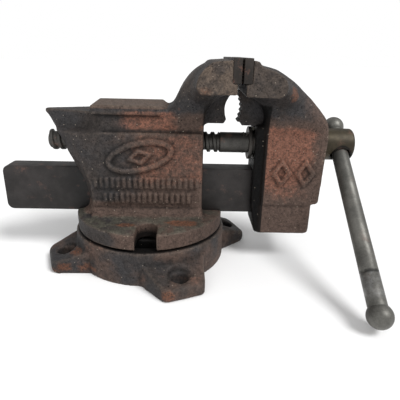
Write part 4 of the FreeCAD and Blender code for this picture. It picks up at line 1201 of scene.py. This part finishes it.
class VISE_OT_pipe_jaws(PieceOperator, bpy.types.Operator):
    """Build the hollow-faced and the toothed pipe jaw"""

    bl_idname = "vise.pipe_jaws"
    bl_label = "Pipe Jaws"

    def execute(self, context):
        paint = self.settings.casting

        def faint(tree):
            return tree.noise(20, 2.0, 0.5, 2.1).rise(0.5, 0.8) * 0.3

        # The pipe jaws are darkened all over, in faint patches, as painted shade under the jaw heads.
        material = cast_iron("pipe_jaw_iron", paint, faint, faint, faint,
                             painted_shade_and_oil_at=lambda tree: faint(tree) + 0.2)
        for name, body in (("fixed_pipe_jaw", BODY), ("moving_pipe_jaw", SLIDE)):
            jaw = tidied(frame["nodes"][name].data.copy(), 0.01)
            jaw = modified(jaw, "REMESH", mode="VOXEL", voxel_size=0.4 * MM, adaptivity=0.0)
            points = relaxed(jaw, mesh_points(jaw), 3, 0.5)
            jaw.vertices.foreach_set("co", points.ravel())
            jaw.update()
            mark_wear_and_hollow_shade(jaw, paint.wear_reach)
            finished(jaw, f"{name}_casting", body, material, [name], 180)
        return {"FINISHED"}


class VISE_OT_fasteners(PieceOperator, bpy.types.Operator):
    """Build the clamp bolt with its washer and nut, and finish the hidden fasteners"""

    bl_idname = "vise.fasteners"
    bl_label = "Fasteners"

    def execute(self, context):
        tones = self.settings.steel
        material = steel("fastener_steel", self.settings.casting, tones.fastener, 0.45, 0.7, 0.2)
        low, high = spot("lock_washer")
        centre = (low + high) / 2
        ring = moved(washer(5.1, (high.x - low.x) / 2, high.z - low.z), at(centre.x, centre.y, low.z))
        finished(ring, "lock_washer_steel", BODY, material, ["lock_washer"])
        low, high = spot("lock_nut")
        nut = moved(hex_nut(high.x - low.x, high.z - low.z, 5.0), at(centre.x, centre.y, low.z))
        finished(nut, "lock_nut_steel", BODY, material, ["lock_nut"], 25)
        low, high = spot("lock_bolt")
        half, head_height, shank = high.x, 7.7, 5.0
        head = bevelled(block((-half, -half, 0), (half, half, head_height)), 0.8)
        head = moved(head, at(0, centre.y, low.z))
        stud = [(0, low.z + 4), (shank, low.z + 4), (shank, high.z - 1), (shank - 0.9, high.z), (0, high.z)]
        stud = moved(turned(stud, 48), at(0, centre.y, 0))
        finished(joined(head, stud), "lock_bolt_steel", BODY, material, ["lock_bolt"])
        iron = steel("nut_iron", self.settings.casting, tones.fastener, 0.55, 0.4, 0.2)
        dressed(iron, "screw_nut")
        dressed(material, "nut_set_screw", "slide_bar_screws", "pivot_bolt", "pivot_washer", "pivot_nut")
        return {"FINISHED"}


class VISE_OT_stage(PieceOperator, bpy.types.Operator):
    """Set out the floor, the soft studio light and the camera"""

    bl_idname = "vise.stage"
    bl_label = "Stage"

    def sun(self, towards, strength):
        """Main light from one side, as soft as a wide window."""
        data = bpy.data.lights.new("key", "SUN")
        data.angle = math.radians(24)
        data.energy = strength
        sun = bpy.data.objects.new("key", data)
        sun.rotation_euler = Vector(towards).to_track_quat("Z", "Y").to_euler()
        bpy.context.scene.collection.objects.link(sun)

    def lamp(self, name, place, aim, wide, power):
        data = bpy.data.lights.new(name, "AREA")
        data.shape = "DISK"
        data.size = wide
        data.energy = power
        lamp = bpy.data.objects.new(name, data)
        lamp.location = place
        lamp.rotation_euler = (Vector(aim) - Vector(place)).to_track_quat("-Z", "Y").to_euler()
        bpy.context.scene.collection.objects.link(lamp)

    def camera(self, stage):
        """Camera in front of the vise, a little above it and looking down."""
        place = Vector((0.03222, -0.29183, 0.15407))
        yaw, pitch, roll = (math.radians(angle) for angle in (1.35, 20.23, 1.35))
        ahead = Vector((math.sin(yaw) * math.cos(pitch), math.cos(yaw) * math.cos(pitch), -math.sin(pitch)))
        level = Vector((math.cos(yaw), -math.sin(yaw), 0))
        upright = level.cross(ahead)
        right = level * math.cos(roll) + upright * math.sin(roll)
        up = upright * math.cos(roll) - level * math.sin(roll)
        data = bpy.data.cameras.new("camera")
        data.lens = stage.lens
        data.sensor_width = 36.0
        data.shift_x, data.shift_y = 0.00135, -0.0089
        data.clip_start, data.clip_end = 0.01, 20.0
        camera = bpy.data.objects.new("camera", data)
        camera.matrix_world = Matrix.Translation(place) @ Matrix((right, up, -ahead)).transposed().to_4x4()
        bpy.context.scene.collection.objects.link(camera)
        bpy.context.scene.camera = camera

    def execute(self, context):
        stage = self.settings.stage
        bpy.ops.mesh.primitive_plane_add(size=12.0)
        floor = bpy.context.object
        floor.name = "floor"
        tree = ShaderTree("floor_paint")
        floor.data.materials.append(tree.finish((*stage.floor, 1.0), 0.9, 0.0))
        world = bpy.data.worlds.new("room")
        world.use_nodes = True
        nodes, links = world.node_tree.nodes, world.node_tree.links
        room = nodes["Background"]
        room.inputs["Color"].default_value = (1.0, 1.0, 1.0, 1.0)
        room.inputs["Strength"].default_value = stage.world
        wall = nodes.new("ShaderNodeBackground")
        wall.inputs["Color"].default_value = (1.0, 1.0, 1.0, 1.0)
        seen = nodes.new("ShaderNodeLightPath")
        mixed = nodes.new("ShaderNodeMixShader")
        links.new(seen.outputs["Is Camera Ray"], mixed.inputs[0])
        links.new(room.outputs[0], mixed.inputs[1])
        links.new(wall.outputs[0], mixed.inputs[2])
        links.new(mixed.outputs[0], nodes["World Output"].inputs["Surface"])
        bpy.context.scene.world = world
        aim = (0.02, 0.0, 0.08)
        self.sun((0.5, -0.42, 0.8), stage.key)
        self.lamp("fill", (-0.3, -0.8, 0.5), aim, 0.6, stage.fill)
        bpy.context.scene.view_settings.view_transform = "Standard"
        self.camera(stage)
        return {"FINISHED"}


class VISE_PT_panel(bpy.types.Panel):
    """Sidebar panel that lists the pieces"""

    bl_idname = "VISE_PT_panel"
    bl_label = "Bench Vise"
    bl_space_type = "VIEW_3D"
    bl_region_type = "UI"
    bl_category = "Vise"

    def draw(self, context):
        settings = context.scene.bench_vise
        for group in (settings.casting, settings.steel, settings.stage):
            box = self.layout.box()
            for name in group.bl_rna.properties.keys():
                if name not in ("rna_type", "name"):
                    box.prop(group, name)
        for operator in OPERATORS:
            self.layout.operator(operator.bl_idname)


GROUPS = (VISE_PG_casting, VISE_PG_steel, VISE_PG_stage, VISE_PG_settings)
OPERATORS = (
    VISE_OT_base_casting, VISE_OT_body_casting, VISE_OT_jaw_casting, VISE_OT_guide_bar,
    VISE_OT_lead_screw, VISE_OT_handle, VISE_OT_retainers, VISE_OT_jaw_plates, VISE_OT_pipe_jaws,
    VISE_OT_fasteners, VISE_OT_stage,
)


def register():
    for item in (*GROUPS, *OPERATORS, VISE_PT_panel):
        bpy.utils.register_class(item)
    bpy.types.Scene.bench_vise = PointerProperty(type=VISE_PG_settings)


def unregister():
    del bpy.types.Scene.bench_vise
    for item in reversed((*GROUPS, *OPERATORS, VISE_PT_panel)):
        bpy.utils.unregister_class(item)


def main():
    register()
    for operator in OPERATORS:
        group, name = operator.bl_idname.split(".")
        getattr(getattr(bpy.ops, group), name)()


if __name__ == "__main__":
    main()
